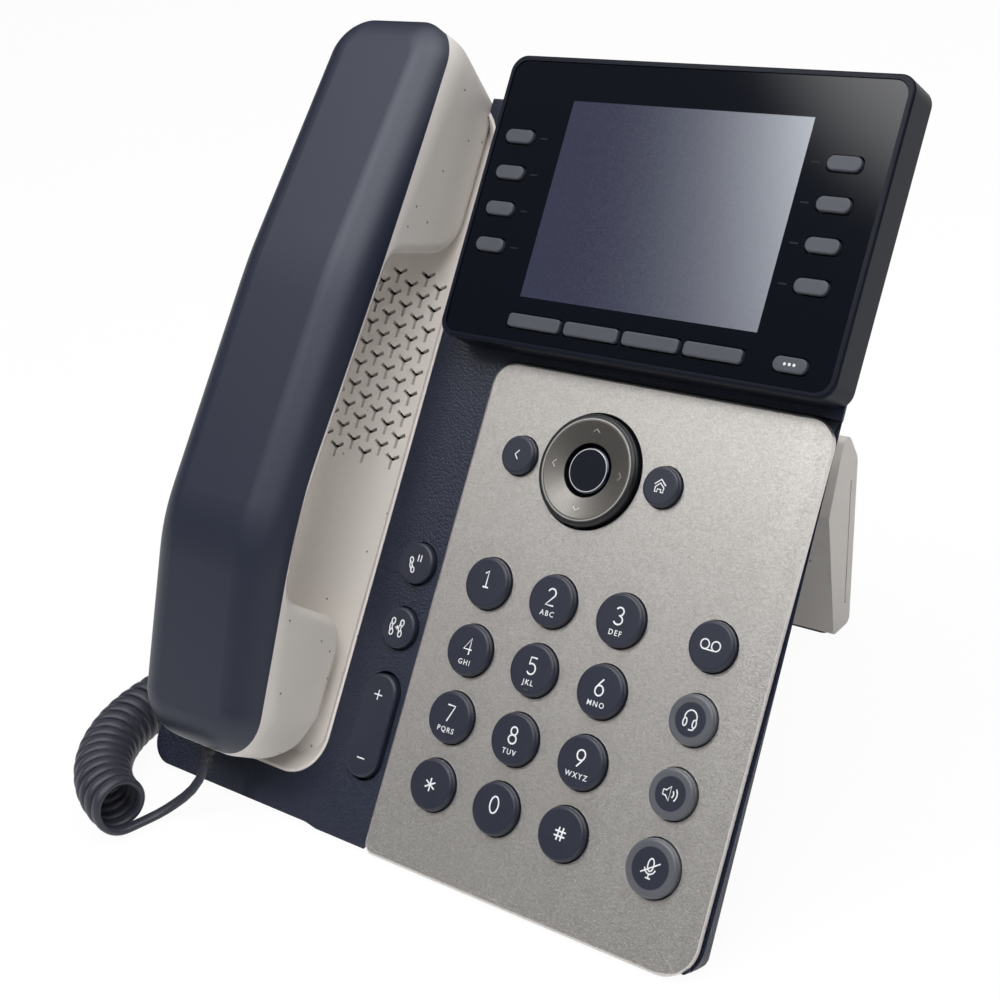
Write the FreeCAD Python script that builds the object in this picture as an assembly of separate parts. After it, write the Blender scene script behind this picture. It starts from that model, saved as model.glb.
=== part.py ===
import FreeCAD, Part
import os
from math import atan2, cos, degrees, pi, radians, sin, sqrt, tan

# A desk telephone: a leaning base with a keypad and a display, a cradle with a
# handset on a curly cord, and a folding stand behind.
# Most pieces are drawn in the face frame (x right, y up the face, z out of the
# face) and then leaned back. The stand and the cord are drawn on the desk.

V = FreeCAD.Vector

# Stance on the desk
FACE_LEAN = 54.5
FOOT_HEIGHT = 1.2
FOOT_LENGTH = 44.0
FOOT_WIDTH = 11.0
FOOT_ROUND = 5.0
FOOT_SPREAD = 112.0
FOOT_SETBACK = 9.0

# Clearances shared by pieces that meet
RUN_GAP = 0.35
FIT_GAP = 0.15
SEAT_GAP = 0.3

# Front case
CASE_CORNER = 7.0
CASE_SKIN = 4.0
CASE_WALL = 7.0
CASE_EDGE_MARGIN = 0.7
FLANK_DEPTH = 6.1
FLANK_RISE = 8.1
FLANK_LEAN = 0.6
CASE_TOE_STEP = 1.4
TOE_STEP_RUN = 8.0
TOE_STEP_ROUND = 14.0
CABLE_SLOT_LENGTH = 20.0
CABLE_SLOT_WIDTH = 9.0

# Rear case
REAR_DEPTH = 34.0
REAR_WALL = 2.2
REAR_INSET = 3.6
REAR_TAPER = 14.0
REAR_CORNER = 9.0

# Dial and function keys
DIAL_COLUMN = 20.7
DIAL_ROW = 17.73
DIAL_X = 29.8
DIAL_BOTTOM_Y = 23.0
DIAL_DIA = 13.4
FUNCTION_GAP = 26.2
FUNCTION_DIA = 12.2
MUTE_DIA = 14.0
SIDE_KEY_GAP = 2.1
SIDE_KEY_DIA = 11.2
SIDE_KEY_PROUD = 1.9
NAV_GAP = 33.8
NAV_DIA = 28.6
NAV_PROUD = 2.4
NAV_DISH = 1.1
NAV_FACE_DIA = 24.8
NAV_TILT_GAP = 0.8
SELECT_DIA = 12.3
SELECT_PROUD = 1.3
MENU_KEY_GAP = 2.7
MENU_KEY_DIA = 10.2
KEY_PROUD = 2.0
KEY_TRAVEL = 1.2
KEY_EDGE = 0.8
KEY_LIP = 1.0
KEY_LIP_THICK = 1.0
ROCKER_WIDTH = 11.0
ROCKER_LENGTH = 28.0
ROCKER_SWING_GAP = 0.8
GIMBAL_DIA = 20.6
GIMBAL_BORE_GAP = 1.0
GIMBAL_THICK = 1.0
GIMBAL_BOSS = 3.0
GIMBAL_BOSS_MARGIN = 0.3
GIMBAL_CROWN = 0.7
MAT_THICK = 1.2
BOARD_THICK = 1.6

# Faceplate round the keys
PLATE_LEFT_MARGIN = 10.7
PLATE_RIGHT_MARGIN = 8.35
PLATE_TOP_MARGIN = 9.7
PLATE_THICK = 3.0
PLATE_PROUD = 1.0
PLATE_CORNER = 7.0
PLATE_LEFT_TOE_CORNER = 3.5
PLATE_TOE_CORNER = 9.0
PLATE_EDGE = 1.1
PLATE_ROLL = 8.0
PLATE_ROLL_DROP = 1.2
PLATE_SHADOW_GAP = 0.9
PLATE_SHADOW_DEPTH = 1.4

# Display
DISPLAY_SPLIT = 2.2
DISPLAY_OVERHANG = 9.2
DISPLAY_SIDE_OVERHANG = 1.4
DISPLAY_LEFT_MARGIN = 5.0
DISPLAY_RIGHT_MARGIN = 8.05
DISPLAY_DEPTH = 10.0
DISPLAY_CORNER = 4.6
DISPLAY_EDGE = 0.8
DISPLAY_FLOOR = 2.0
DISPLAY_BOARD_THICK = 1.6
LCD_WIDTH = 78.0
LCD_HEIGHT = 58.0
LCD_THICK = 3.8
LCD_ROUND = 0.8
LCD_TOP_MARGIN = 8.5
LENS_INSET = 1.6
LENS_LEDGE = 1.4
LENS_THICK = 2.1
LENS_SUNK = 0.3
LINE_KEY_GAP = 4.2
LINE_KEY_PITCH = 9.87
LINE_KEY_LENGTH = 9.0
LINE_KEY_WIDTH = 3.7
LINE_KEY_ROUND = 1.78
LINE_KEY_RISE = 0.3
SCREEN_KEY_PROUD = 0.9
SCREEN_KEY_EDGE = 0.4
SCREEN_KEY_LIP = 0.6
SOFT_KEY_RISE = 6.8
SOFT_KEY_LENGTH = 16.45
SOFT_KEY_GAP = 1.4
SOFT_KEY_WIDTH = 3.6
SOFT_KEY_ROUND = 1.1
SOFT_KEY_LCD_GAP = 2.4

# Cradle, its loudspeaker and hook switch
CRADLE_STRIP = 8.4
CRADLE_RIGHT_MARGIN = 5.5
CRADLE_LEFT_MARGIN = 9.25
CRADLE_EDGE_MARGIN = 2.0
CRADLE_TOE_MARGIN = 10.6
CRADLE_TOP_MARGIN = 1.0
CRADLE_CORNER = 13.0
CRADLE_FLOOR = 4.6
CRADLE_THICK = 1.6
CRADLE_LIP = 0.8
CRADLE_SLOPE = 4.6
CRADLE_LEDGE = 1.0
SLOT_PITCH = 6.1
SLOT_ARM = 2.8
SLOT_WIDTH = 1.0
GRILLE_SETBACK = 47.0
GRILLE_WIDTH = 44.0
GRILLE_HEIGHT = 56.0
SPEAKER_DIA = 40.0
SPEAKER_FRAME = 4.0
SPEAKER_BASKET = 4.0
SPEAKER_CONE_DIA = 36.0
SPEAKER_MAGNET_DIA = 20.0
SPEAKER_MAGNET = 4.0
HOOK_SETBACK = 13.3
HOOK_DIA = 7.0
HOOK_RISE = 3.0

# Handset, drawn where it lies in the cradle
HANDSET_WIDTH = 46.0
HANDSET_TOE = 1.2
HANDSET_OVERHANG = 16.2
HANDSET_CORNER = 14.0
HANDSET_EDGE = 11.0
HANDSET_UNDER_EDGE = 3.0
HANDSET_WALL = 2.2
SEAM_END = 18.4
SEAM_PEAK = 29.6
SEAM_PEAK_REACH = 64.8
SEAM_ROUND = 150.0
BACK_MOUTH_END = 23.8
BACK_EAR_END = 22.8
BACK_UPPER = 33.9
BACK_UPPER_REACH = 74.7
BACK_LOWER = 38.0
BACK_LOWER_REACH = 56.8
BACK_ROUND = 60.0
GRIP_DROP = 2.6
GRIP_ROUND = 75.0
MOUTH_SEAT = -1.6
MOUTH_TOE_RISE = 8.0
MOUTH_TOE = 14.8
MOUTH_FLAT = 27.5
MOUTH_RAMP = 2.0
MOUTH_HEEL_ROUND = 9.0
MOUTH_REST_MARGIN = 7.0
EAR_CUP = 66.7
EAR_RAMP = 8.0
EAR_HEEL_ROUND = 13.0
EAR_SEAT_GAP = 0.4
EAR_TIP_SETBACK = 16.2
EAR_END_STEP = 4.5
EAR_END_RISE = 1.0
EAR_TIP_ROUND = 3.0
EAR_END_ROUND = 2.0
CUP_ROUND = 6.0
EAR_CAPSULE_DIA = 27.4
EAR_CAPSULE_DEPTH = 8.0
EAR_CAPSULE_SETBACK = 33.4
EAR_HOLE_DIA = 2.2
EAR_HOLE_RING = 14.0
EAR_HOLE_COUNT = 6
MIC_DIA = 9.7
MIC_DEPTH = 5.0
MIC_SETBACK = 10.0
CORD_EXIT_Z = 13.0

# Jacks in the back panel
NET_JACK_WIDTH = 16.0
NET_JACK_HEIGHT = 14.0
NET_PORT_WIDTH = 11.8
NET_PORT_HEIGHT = 8.6
NET_JACK_DEPTH = 14.0
NET_JACK_X = 14.0
NET_JACK_PITCH = 20.0
JACK_Y = 52.0
CORD_JACK_WIDTH = 11.5
CORD_JACK_HEIGHT = 10.5
CORD_PORT_WIDTH = 8.0
CORD_PORT_HEIGHT = 7.0
CORD_JACK_DEPTH = 13.0
CORD_JACK_X = -57.0
CORD_JACK_PITCH = 17.0
PORT_BACK = 2.0

# Screws through the back panel into the front case
SCREW_SHANK_DIA = 3.0
SCREW_HEAD_DIA = 6.0
SCREW_HEAD = 2.0
SCREW_HEAD_ROUND = 0.7
SCREW_GRIP = 14.0
SCREW_BOSS_DIA = 6.8
SCREW_MARGIN = 1.5

# Stand, drawn on the desk behind the base
STAND_WIDTH = 92.0
HINGE_DROP = 28.5
HINGE_OFFSET = 6.5
HINGE_DIA = 10.0
HINGE_PIN_DIA = 4.4
HINGE_PIN_REACH = 4.0
LUG_THICK = 4.0
ARM_WIDTH = 12.0
ARM_INSET = 4.0
ARM_THICK = 9.0
LEG_SETBACK = 15.7
LEG_FOOT = 9.5
LEG_BACK_SLOPE = 8.5
LEG_CROTCH = 40.5
LEG_SHOULDER = 52.8
LEG_TOP = 64.5
LEG_TOP_SETBACK = 12.2
LEG_ROUND = 2.5
LEG_TOE_ROUND = 0.7
LEG_SHOULDER_ROUND = 5.0
LEG_ARCH_WIDTH = 30.0
LEG_ARCH_HEIGHT = 14.0
LEG_GROOVE = 0.7
LEG_GROOVE_INSET = 2.6
LEG_GROOVE_RISE = 7.0
PAD_HEIGHT = 1.5
PAD_LENGTH = 24.0
PAD_WIDTH = 6.0
PAD_ROUND = 2.0

# Curly cord
CORD_DIA = 3.0
COIL_DIA = 17.0
COIL_PITCH = 4.1
COIL_TURNS = 37.5
COIL_BEND = 41.0
COIL_END_X = -71.8
COIL_END_Y = -26.4
COIL_END_HEADING = -11.0
CORD_STRAIGHT = 6.5
CORD_ARC_SHARE = 0.45
BOOT_LENGTH = 14.0
BOOT_DIA = 6.0
PLUG_REACH = 8.0
PLUG_WIDTH = 7.6
PLUG_HEIGHT = 6.6

# Route of the tail from the handset to the coil, and of the lead from the
# plug to the coil, on the desk (x, y back, z up)
TAIL_POINTS = [(-60.8, -10.2, 8.2), (-66.2, -13.2, 3.6)]
LEAD_POINTS = [(-58.8, 91.2, 2.3), (-63.6, 100.2, 1.8), (-71.8, 106.6, 3.4), (-80.4, 110.0, 7.4),
               (-88.4, 111.2, 12.4)]

# Places across the face, worked out from the keypad outwards
DIAL_COLUMNS = [DIAL_X + DIAL_COLUMN * step for step in (-1, 0, 1)]
FUNCTION_X = DIAL_COLUMNS[2] + FUNCTION_GAP
PLATE_LEFT = DIAL_COLUMNS[0] - DIAL_DIA / 2 - PLATE_LEFT_MARGIN
PLATE_RIGHT = FUNCTION_X + MUTE_DIA / 2 + PLATE_RIGHT_MARGIN
CASE_RIGHT = PLATE_RIGHT + CASE_EDGE_MARGIN
SIDE_KEY_X = PLATE_LEFT - SIDE_KEY_GAP - SIDE_KEY_DIA / 2
CRADLE_RIGHT = SIDE_KEY_X - SIDE_KEY_DIA / 2 - CRADLE_STRIP
HANDSET_X = CRADLE_RIGHT - CRADLE_RIGHT_MARGIN - HANDSET_WIDTH / 2
CRADLE_LEFT = HANDSET_X - HANDSET_WIDTH / 2 - CRADLE_LEFT_MARGIN
CASE_LEFT = CRADLE_LEFT - CRADLE_EDGE_MARGIN
CASE_WIDTH = CASE_RIGHT - CASE_LEFT
CRADLE_X = (CRADLE_LEFT + CRADLE_RIGHT) / 2
TOE_STEP_X = CRADLE_RIGHT + TOE_STEP_RUN / 2
DISPLAY_RIGHT = CASE_RIGHT + DISPLAY_SIDE_OVERHANG
LINE_KEY_OFFSET = LCD_WIDTH / 2 + LINE_KEY_GAP + LINE_KEY_LENGTH / 2
LCD_X = DISPLAY_RIGHT - DISPLAY_RIGHT_MARGIN - LINE_KEY_LENGTH / 2 - LINE_KEY_OFFSET
DISPLAY_LEFT = LCD_X - LINE_KEY_OFFSET - LINE_KEY_LENGTH / 2 - DISPLAY_LEFT_MARGIN
SCREW_X_LEFT = SIDE_KEY_X - SIDE_KEY_DIA / 2 - SCREW_BOSS_DIA / 2
SCREW_X_RIGHT = (DIAL_COLUMNS[2] + FUNCTION_X) / 2

# Places up the face
DIAL_ROWS = [DIAL_BOTTOM_Y + DIAL_ROW * step for step in (3, 2, 1, 0)]
NAV_Y = DIAL_ROWS[0] + NAV_GAP
PLATE_TOP = NAV_Y + NAV_DIA / 2 + PLATE_TOP_MARGIN
DISPLAY_BOTTOM = PLATE_TOP + DISPLAY_SPLIT
SOFT_KEY_Y = DISPLAY_BOTTOM + SOFT_KEY_RISE
LCD_Y = SOFT_KEY_Y + SOFT_KEY_WIDTH / 2 + SOFT_KEY_LCD_GAP + LCD_HEIGHT / 2
DISPLAY_TOP = LCD_Y + LCD_HEIGHT / 2 + LCD_TOP_MARGIN
CASE_HEIGHT = DISPLAY_TOP - DISPLAY_OVERHANG
CRADLE_BOTTOM = CASE_TOE_STEP + CRADLE_TOE_MARGIN
CRADLE_TOP = CASE_HEIGHT - CRADLE_TOP_MARGIN
HANDSET_BOTTOM = CRADLE_BOTTOM + HANDSET_TOE
HANDSET_TOP = CRADLE_TOP + HANDSET_OVERHANG
MOUTH_TOE_Y = HANDSET_BOTTOM + MOUTH_TOE
MOUTH_HEEL_Y = MOUTH_TOE_Y + MOUTH_FLAT
MIC_Y = MOUTH_TOE_Y + MIC_SETBACK
SEAM_PEAK_Y = HANDSET_BOTTOM + SEAM_PEAK_REACH
BACK_LOWER_Y = HANDSET_BOTTOM + BACK_LOWER_REACH
BACK_UPPER_Y = HANDSET_TOP - BACK_UPPER_REACH
EAR_RAMP_Y = HANDSET_TOP - EAR_CUP
EAR_CAPSULE_Y = HANDSET_TOP - EAR_CAPSULE_SETBACK
HOOK_Y = EAR_CAPSULE_Y - HOOK_SETBACK
GRILLE_Y = HOOK_Y - GRILLE_SETBACK
ROCKER_Y = (DIAL_ROWS[2] + DIAL_ROWS[3]) / 2
SCREW_Y_LOWER = (DIAL_ROWS[0] + DIAL_ROWS[1]) / 2
HINGE_Y = CASE_HEIGHT - HINGE_DROP
SCREW_Y_UPPER = HINGE_Y - HINGE_DIA / 2 - SCREW_BOSS_DIA / 2 - SCREW_MARGIN

# Levels out of the face
CASE_RIM = CRADLE_FLOOR + CRADLE_THICK + FIT_GAP
CRADLE_BACK = -CRADLE_FLOOR - CRADLE_THICK
EAR_SEAT = EAR_SEAT_GAP - CRADLE_FLOOR
PLATE_BACK = PLATE_PROUD - PLATE_THICK
KEY_TOP = PLATE_PROUD + KEY_PROUD
LIP_TOP = -CASE_SKIN - SEAT_GAP
LIP_BOTTOM = LIP_TOP - KEY_LIP_THICK
MAT_TOP = LIP_BOTTOM - KEY_TRAVEL - SEAT_GAP
BOARD_TOP = MAT_TOP - MAT_THICK
LENS_TOP = DISPLAY_DEPTH - LENS_SUNK
LENS_BACK = LENS_TOP - LENS_THICK
HINGE_Z = -REAR_DEPTH - HINGE_OFFSET
MENU_KEY_OFFSET = NAV_DIA / 2 + MENU_KEY_GAP + MENU_KEY_DIA / 2
DESK_LIFT = FOOT_HEIGHT - PLATE_PROUD * cos(radians(FACE_LEAN))


# Shapes used by several pieces

def rounded_wire(points, radii):
    """Closed outline through corner points, each corner rounded by its radius."""
    arcs = []
    for index, corner in enumerate(points):
        to_last = (points[index - 1] - corner).normalize()
        to_next = (points[(index + 1) % len(points)] - corner).normalize()
        half = to_last.getAngle(to_next) / 2
        reach = radii[index] / tan(half)
        inward = (to_last + to_next).normalize()
        middle = corner + inward * (radii[index] / sin(half) - radii[index])
        arcs.append((corner + to_last * reach, middle, corner + to_next * reach))
    edges = []
    for index, (start, middle, end) in enumerate(arcs):
        if (end - start).Length > 1e-6:
            edges.append(Part.Arc(start, middle, end).toShape())
        following = arcs[(index + 1) % len(arcs)][0]
        if (following - end).Length > 1e-6:
            edges.append(Part.LineSegment(end, following).toShape())
    return Part.Wire(edges)


def rectangle(x0, x1, y0, y1, z):
    """Corner points of a rectangle on the face, anticlockwise from its lower left."""
    return [V(x0, y0, z), V(x1, y0, z), V(x1, y1, z), V(x0, y1, z)]


def plate(points, radii, thickness):
    """Solid with a rounded outline, drawn upwards from the points' level."""
    return Part.Face(rounded_wire(points, radii)).extrude(V(0, 0, thickness))


def slab(x0, x1, y0, y1, z0, z1, radius):
    """Plate with four equal round corners between two levels."""
    return plate(rectangle(x0, x1, y0, y1, z0), [radius] * 4, z1 - z0)


def disc(x, y, z0, z1, diameter):
    """Upright cylinder between two levels."""
    return Part.makeCylinder(diameter / 2, z1 - z0, V(x, y, z0))


def across(profile, radii, x0, x1):
    """Solid whose outline in the y and z plane is the profile, from x0 to x1."""
    points = [V(x0, y, z) for y, z in profile]
    return Part.Face(rounded_wire(points, radii)).extrude(V(x1 - x0, 0, 0))


def edges_at(shape, level):
    """Edges that lie wholly at one level."""
    found = []
    for edge in shape.Edges:
        box = edge.BoundBox
        if abs(box.ZMin - level) < 1e-4 and abs(box.ZMax - level) < 1e-4:
            found.append(edge)
    return found


def softened(shape, level, radius):
    """The shape with its outer edge at one level rounded."""
    return shape.makeFillet(radius, edges_at(shape, level))


def lean(shape):
    """Turn a shape from the face frame onto the desk."""
    leaned = shape.copy()
    leaned.rotate(V(0, 0, 0), V(1, 0, 0), FACE_LEAN)
    leaned.translate(V(0, 0, DESK_LIFT))
    return leaned


def on_desk(x, y, z):
    """Point of the face frame, on the desk."""
    slope = radians(FACE_LEAN)
    return V(x, y * cos(slope) - z * sin(slope), y * sin(slope) + z * cos(slope) + DESK_LIFT)


def above_desk(shape, level):
    """The shape, in the face frame, without what lies under a level above the desk."""
    reach = 3 * CASE_HEIGHT
    block = Part.makeBox(2 * reach, 2 * reach, reach, V(-reach, -reach, level - DESK_LIFT - reach))
    block.rotate(V(0, 0, 0), V(1, 0, 0), -FACE_LEAN)
    return shape.cut(block)


# Base casing

def toe_outline(z):
    """Case outline: its lower edge steps down from the cradle side to the keypad side."""
    points = [V(CASE_LEFT, CASE_TOE_STEP, z), V(TOE_STEP_X - TOE_STEP_RUN / 2, CASE_TOE_STEP, z),
              V(TOE_STEP_X + TOE_STEP_RUN / 2, 0, z), V(CASE_RIGHT, 0, z),
              V(CASE_RIGHT, CASE_HEIGHT, z), V(CASE_LEFT, CASE_HEIGHT, z)]
    radii = [CASE_CORNER, TOE_STEP_ROUND, TOE_STEP_ROUND, PLATE_TOE_CORNER, CASE_CORNER, CASE_CORNER]
    return points, radii


def screw_places():
    """Centres of the four case screws on the face."""
    return [(x, y) for x in (SCREW_X_LEFT, SCREW_X_RIGHT) for y in (SCREW_Y_LOWER, SCREW_Y_UPPER)]


def face_openings(z0, z1):
    """Holes for every key that passes through the faceplate and the front case."""
    holes = []
    for x, y, diameter in round_face_keys().values():
        holes.append(disc(x, y, z0, z1, diameter + 2 * RUN_GAP))
    holes.append(disc(DIAL_X, NAV_Y, z0, z1, NAV_DIA + 2 * NAV_TILT_GAP))
    return holes


def side_openings(z0, z1):
    """Holes for the keys in the dark strip beside the cradle."""
    holes = [disc(x, y, z0, z1, SIDE_KEY_DIA + 2 * RUN_GAP) for x, y in side_key_places().values()]
    half_width = ROCKER_WIDTH / 2 + RUN_GAP
    half_length = ROCKER_LENGTH / 2 + ROCKER_SWING_GAP
    holes.append(slab(SIDE_KEY_X - half_width, SIDE_KEY_X + half_width, ROCKER_Y - half_length,
                      ROCKER_Y + half_length, z0, z1, half_width))
    return holes


def cable_slot(z0, z1):
    """Way through for the display's ribbon cable."""
    return slab(LCD_X - CABLE_SLOT_LENGTH / 2, LCD_X + CABLE_SLOT_LENGTH / 2, LCD_Y - CABLE_SLOT_WIDTH / 2,
                LCD_Y + CABLE_SLOT_WIDTH / 2, z0, z1, CABLE_SLOT_WIDTH / 4)


def flank_draft():
    """Space behind the right flank, which leans in towards its back and its top."""
    outer = CASE_RIGHT + FLANK_LEAN * CASE_RIM
    inner = CASE_RIGHT - 2 * FLANK_LEAN * CASE_RIM
    low = -FLANK_DEPTH - 2 * CASE_RIM
    corners = [V(outer, 0, CASE_RIM - FLANK_DEPTH), V(inner, 0, low), V(outer, 0, low)]
    return Part.Face(rounded_wire(corners, [0] * 3)).extrude(V(0, CASE_HEIGHT, FLANK_RISE))


def ear_way(z1):
    """Opening in the top edge for the ear end of the handset, which reaches over it."""
    half = HANDSET_WIDTH / 2 + 2 * RUN_GAP
    return Part.makeBox(2 * half, HANDSET_TOP - HOOK_Y, z1 + CRADLE_FLOOR,
                        V(HANDSET_X - half, HOOK_Y, -CRADLE_FLOOR))


def front_case():
    points, radii = toe_outline(-CASE_RIM)
    body = plate(points, radii, CASE_RIM).cut(flank_draft())
    hollow = slab(CASE_LEFT + CASE_WALL, CASE_RIGHT - CASE_WALL, CASE_WALL, CASE_HEIGHT - CASE_WALL,
                  -CASE_RIM, -CASE_SKIN, CASE_CORNER)
    body = body.cut(above_desk(hollow, FOOT_HEIGHT + REAR_WALL))
    seat = slab(PLATE_LEFT - FIT_GAP, CASE_WIDTH, -CASE_HEIGHT, PLATE_TOP + FIT_GAP,
                PLATE_BACK, PLATE_THICK, PLATE_CORNER)
    shadow_x = PLATE_RIGHT - PLATE_SHADOW_DEPTH
    shadow = slab(shadow_x, CASE_WIDTH, -CASE_HEIGHT, PLATE_TOP, PLATE_BACK - PLATE_SHADOW_GAP,
                  PLATE_BACK, PLATE_SHADOW_DEPTH)
    well = cradle_outline(FIT_GAP, -CRADLE_THICK, PLATE_THICK)
    through = cradle_outline(-CRADLE_LEDGE, -CASE_RIM, PLATE_THICK)
    holes = face_openings(-CASE_RIM, PLATE_THICK) + side_openings(-CASE_RIM, PLATE_THICK)
    cable = cable_slot(-CASE_RIM, PLATE_THICK)
    body = body.cut([seat, shadow, well, through, cable, ear_way(PLATE_THICK)] + holes)
    for x, y in screw_places():
        boss = disc(x, y, REAR_WALL - REAR_DEPTH, -CASE_SKIN, SCREW_BOSS_DIA)
        pilot = disc(x, y, REAR_WALL - REAR_DEPTH, REAR_WALL - REAR_DEPTH + SCREW_GRIP,
                     SCREW_SHANK_DIA + 2 * FIT_GAP)
        body = body.fuse(boss).cut(pilot)
    return above_desk(body, FOOT_HEIGHT)


def rear_tub(inset, z_front, z_back):
    """Tapered block of the rear case, drawn in by an inset."""
    outlines = []
    for z in (z_front, z_back):
        taper = REAR_INSET + REAR_TAPER * (-z - CASE_RIM) / (REAR_DEPTH - CASE_RIM) + inset
        corners = rectangle(CASE_LEFT + taper, CASE_RIGHT - taper, REAR_INSET + inset,
                            CASE_HEIGHT - taper, z)
        outlines.append(rounded_wire(corners, [REAR_CORNER - inset] * 4))
    return Part.makeLoft(outlines, True, True)


def hinge_lugs():
    """Ears on the back panel that hold the stand's pins."""
    ears = []
    for x in lug_places():
        ear = Part.makeBox(LUG_THICK, HINGE_DIA, HINGE_OFFSET, V(x, HINGE_Y - HINGE_DIA / 2, HINGE_Z))
        tip = Part.makeCylinder(HINGE_DIA / 2, LUG_THICK, V(x, HINGE_Y, HINGE_Z), V(1, 0, 0))
        bore = Part.makeCylinder(HINGE_PIN_DIA / 2 + FIT_GAP, LUG_THICK, V(x, HINGE_Y, HINGE_Z), V(1, 0, 0))
        ears.append(ear.fuse(tip).cut(bore))
    return ears


def rear_case():
    outer = above_desk(rear_tub(0, -CASE_RIM, -REAR_DEPTH), FOOT_HEIGHT)
    inner = above_desk(rear_tub(REAR_WALL, -CASE_RIM, REAR_WALL - REAR_DEPTH), FOOT_HEIGHT + REAR_WALL)
    shell = outer.cut(inner)
    cuts = [disc(x, y, -REAR_DEPTH, REAR_WALL - REAR_DEPTH, SCREW_SHANK_DIA + 4 * FIT_GAP)
            for x, y in screw_places()]
    for x, width, height, depth in jack_blocks():
        cuts.append(Part.makeBox(width + 2 * FIT_GAP, height + 2 * FIT_GAP, REAR_WALL,
                                 V(x - width / 2 - FIT_GAP, JACK_Y - height / 2 - FIT_GAP, -REAR_DEPTH)))
    return shell.cut(cuts).fuse(hinge_lugs()).removeSplitter()


def plate_roll():
    """What the rolled right edge of the faceplate leaves out."""
    radius = (PLATE_ROLL ** 2 + PLATE_ROLL_DROP ** 2) / (2 * PLATE_ROLL_DROP)
    start = PLATE_RIGHT - PLATE_ROLL
    block = Part.makeBox(2 * PLATE_ROLL, CASE_HEIGHT, PLATE_THICK + PLATE_ROLL_DROP,
                         V(start, 0, PLATE_PROUD - PLATE_ROLL_DROP))
    roll = Part.makeCylinder(radius, CASE_HEIGHT, V(start, 0, PLATE_PROUD - radius), V(0, 1, 0))
    return block.cut(roll)


def faceplate():
    points = rectangle(PLATE_LEFT, PLATE_RIGHT, 0, PLATE_TOP, PLATE_BACK)
    radii = [PLATE_LEFT_TOE_CORNER, PLATE_TOE_CORNER, PLATE_CORNER, PLATE_CORNER]
    cover = softened(plate(points, radii, PLATE_THICK), PLATE_PROUD, PLATE_EDGE)
    cover = cover.cut(face_openings(PLATE_BACK, PLATE_PROUD) + [plate_roll()])
    return above_desk(cover, FOOT_HEIGHT)


def base_feet():
    """Two rubber strips under the flat of the base, drawn on the desk."""
    feet = []
    for side in (-1, 1):
        x = side * FOOT_SPREAD / 2
        feet.append(slab(x - FOOT_LENGTH / 2, x + FOOT_LENGTH / 2, FOOT_SETBACK,
                         FOOT_SETBACK + FOOT_WIDTH, 0, FOOT_HEIGHT, FOOT_ROUND))
    return Part.makeCompound(feet)


def case_screws():
    """Pan-head screws from the back panel into the front case."""
    screws = []
    for x, y in screw_places():
        head = disc(x, y, -REAR_DEPTH - SCREW_HEAD, -REAR_DEPTH, SCREW_HEAD_DIA)
        head = softened(head, -REAR_DEPTH - SCREW_HEAD, SCREW_HEAD_ROUND)
        shank = disc(x, y, -REAR_DEPTH, REAR_WALL - REAR_DEPTH + SCREW_GRIP - SEAT_GAP, SCREW_SHANK_DIA)
        screws.append(head.fuse(shank))
    return Part.makeCompound(screws)


# Boards, mat, jacks and loudspeaker

def board_outline(z0, z1):
    """Plate under the keypad, clear of the screw bosses."""
    left = SIDE_KEY_X - ROCKER_WIDTH / 2 - KEY_LIP
    right = FUNCTION_X + MUTE_DIA / 2 + KEY_LIP
    low = DIAL_ROWS[3] - MUTE_DIA / 2 - KEY_LIP
    high = NAV_Y + NAV_DIA / 2
    sheet = slab(left, right, low, high, z0, z1, CASE_CORNER)
    return sheet.cut([disc(x, y, z0, z1, SCREW_BOSS_DIA + 2 * RUN_GAP) for x, y in screw_places()])


def keypad_mat():
    return board_outline(BOARD_TOP, MAT_TOP)


def main_board():
    return board_outline(BOARD_TOP - BOARD_THICK, BOARD_TOP)


def jack_blocks():
    """Centre, width, height and depth of each jack in the back panel."""
    net = [(NET_JACK_X + NET_JACK_PITCH * step, NET_JACK_WIDTH, NET_JACK_HEIGHT, NET_JACK_DEPTH)
           for step in range(2)]
    cord = [(CORD_JACK_X + CORD_JACK_PITCH * step, CORD_JACK_WIDTH, CORD_JACK_HEIGHT, CORD_JACK_DEPTH)
            for step in range(2)]
    return net + cord


def rear_jacks():
    """Two network jacks, a handset jack and a headset jack, open to the back."""
    jacks = []
    for x, width, height, depth in jack_blocks():
        is_net = width == NET_JACK_WIDTH
        port_width = NET_PORT_WIDTH if is_net else CORD_PORT_WIDTH
        port_height = NET_PORT_HEIGHT if is_net else CORD_PORT_HEIGHT
        block = Part.makeBox(width, height, depth, V(x - width / 2, JACK_Y - height / 2, -REAR_DEPTH))
        port = Part.makeBox(port_width, port_height, depth - PORT_BACK,
                            V(x - port_width / 2, JACK_Y - port_height / 2, -REAR_DEPTH))
        jacks.append(block.cut(port))
    return Part.makeCompound(jacks)


def loudspeaker():
    """Round loudspeaker under the cradle's grille: frame, basket and magnet."""
    frame_low = CRADLE_BACK - SPEAKER_FRAME
    basket_low = frame_low - SPEAKER_BASKET
    frame = disc(CRADLE_X, GRILLE_Y, frame_low, CRADLE_BACK, SPEAKER_DIA)
    basket = Part.makeCone(SPEAKER_MAGNET_DIA / 2, SPEAKER_CONE_DIA / 2, SPEAKER_BASKET,
                           V(CRADLE_X, GRILLE_Y, basket_low))
    magnet = disc(CRADLE_X, GRILLE_Y, basket_low - SPEAKER_MAGNET, basket_low, SPEAKER_MAGNET_DIA)
    return frame.fuse([basket, magnet])


# Cradle

def cradle_outline(growth, z0, z1):
    """Cradle's outline on the face, grown or drawn in."""
    return slab(CRADLE_LEFT - growth, CRADLE_RIGHT + growth, CRADLE_BOTTOM - growth,
                CRADLE_TOP + growth, z0, z1, CRADLE_CORNER + growth)


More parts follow.
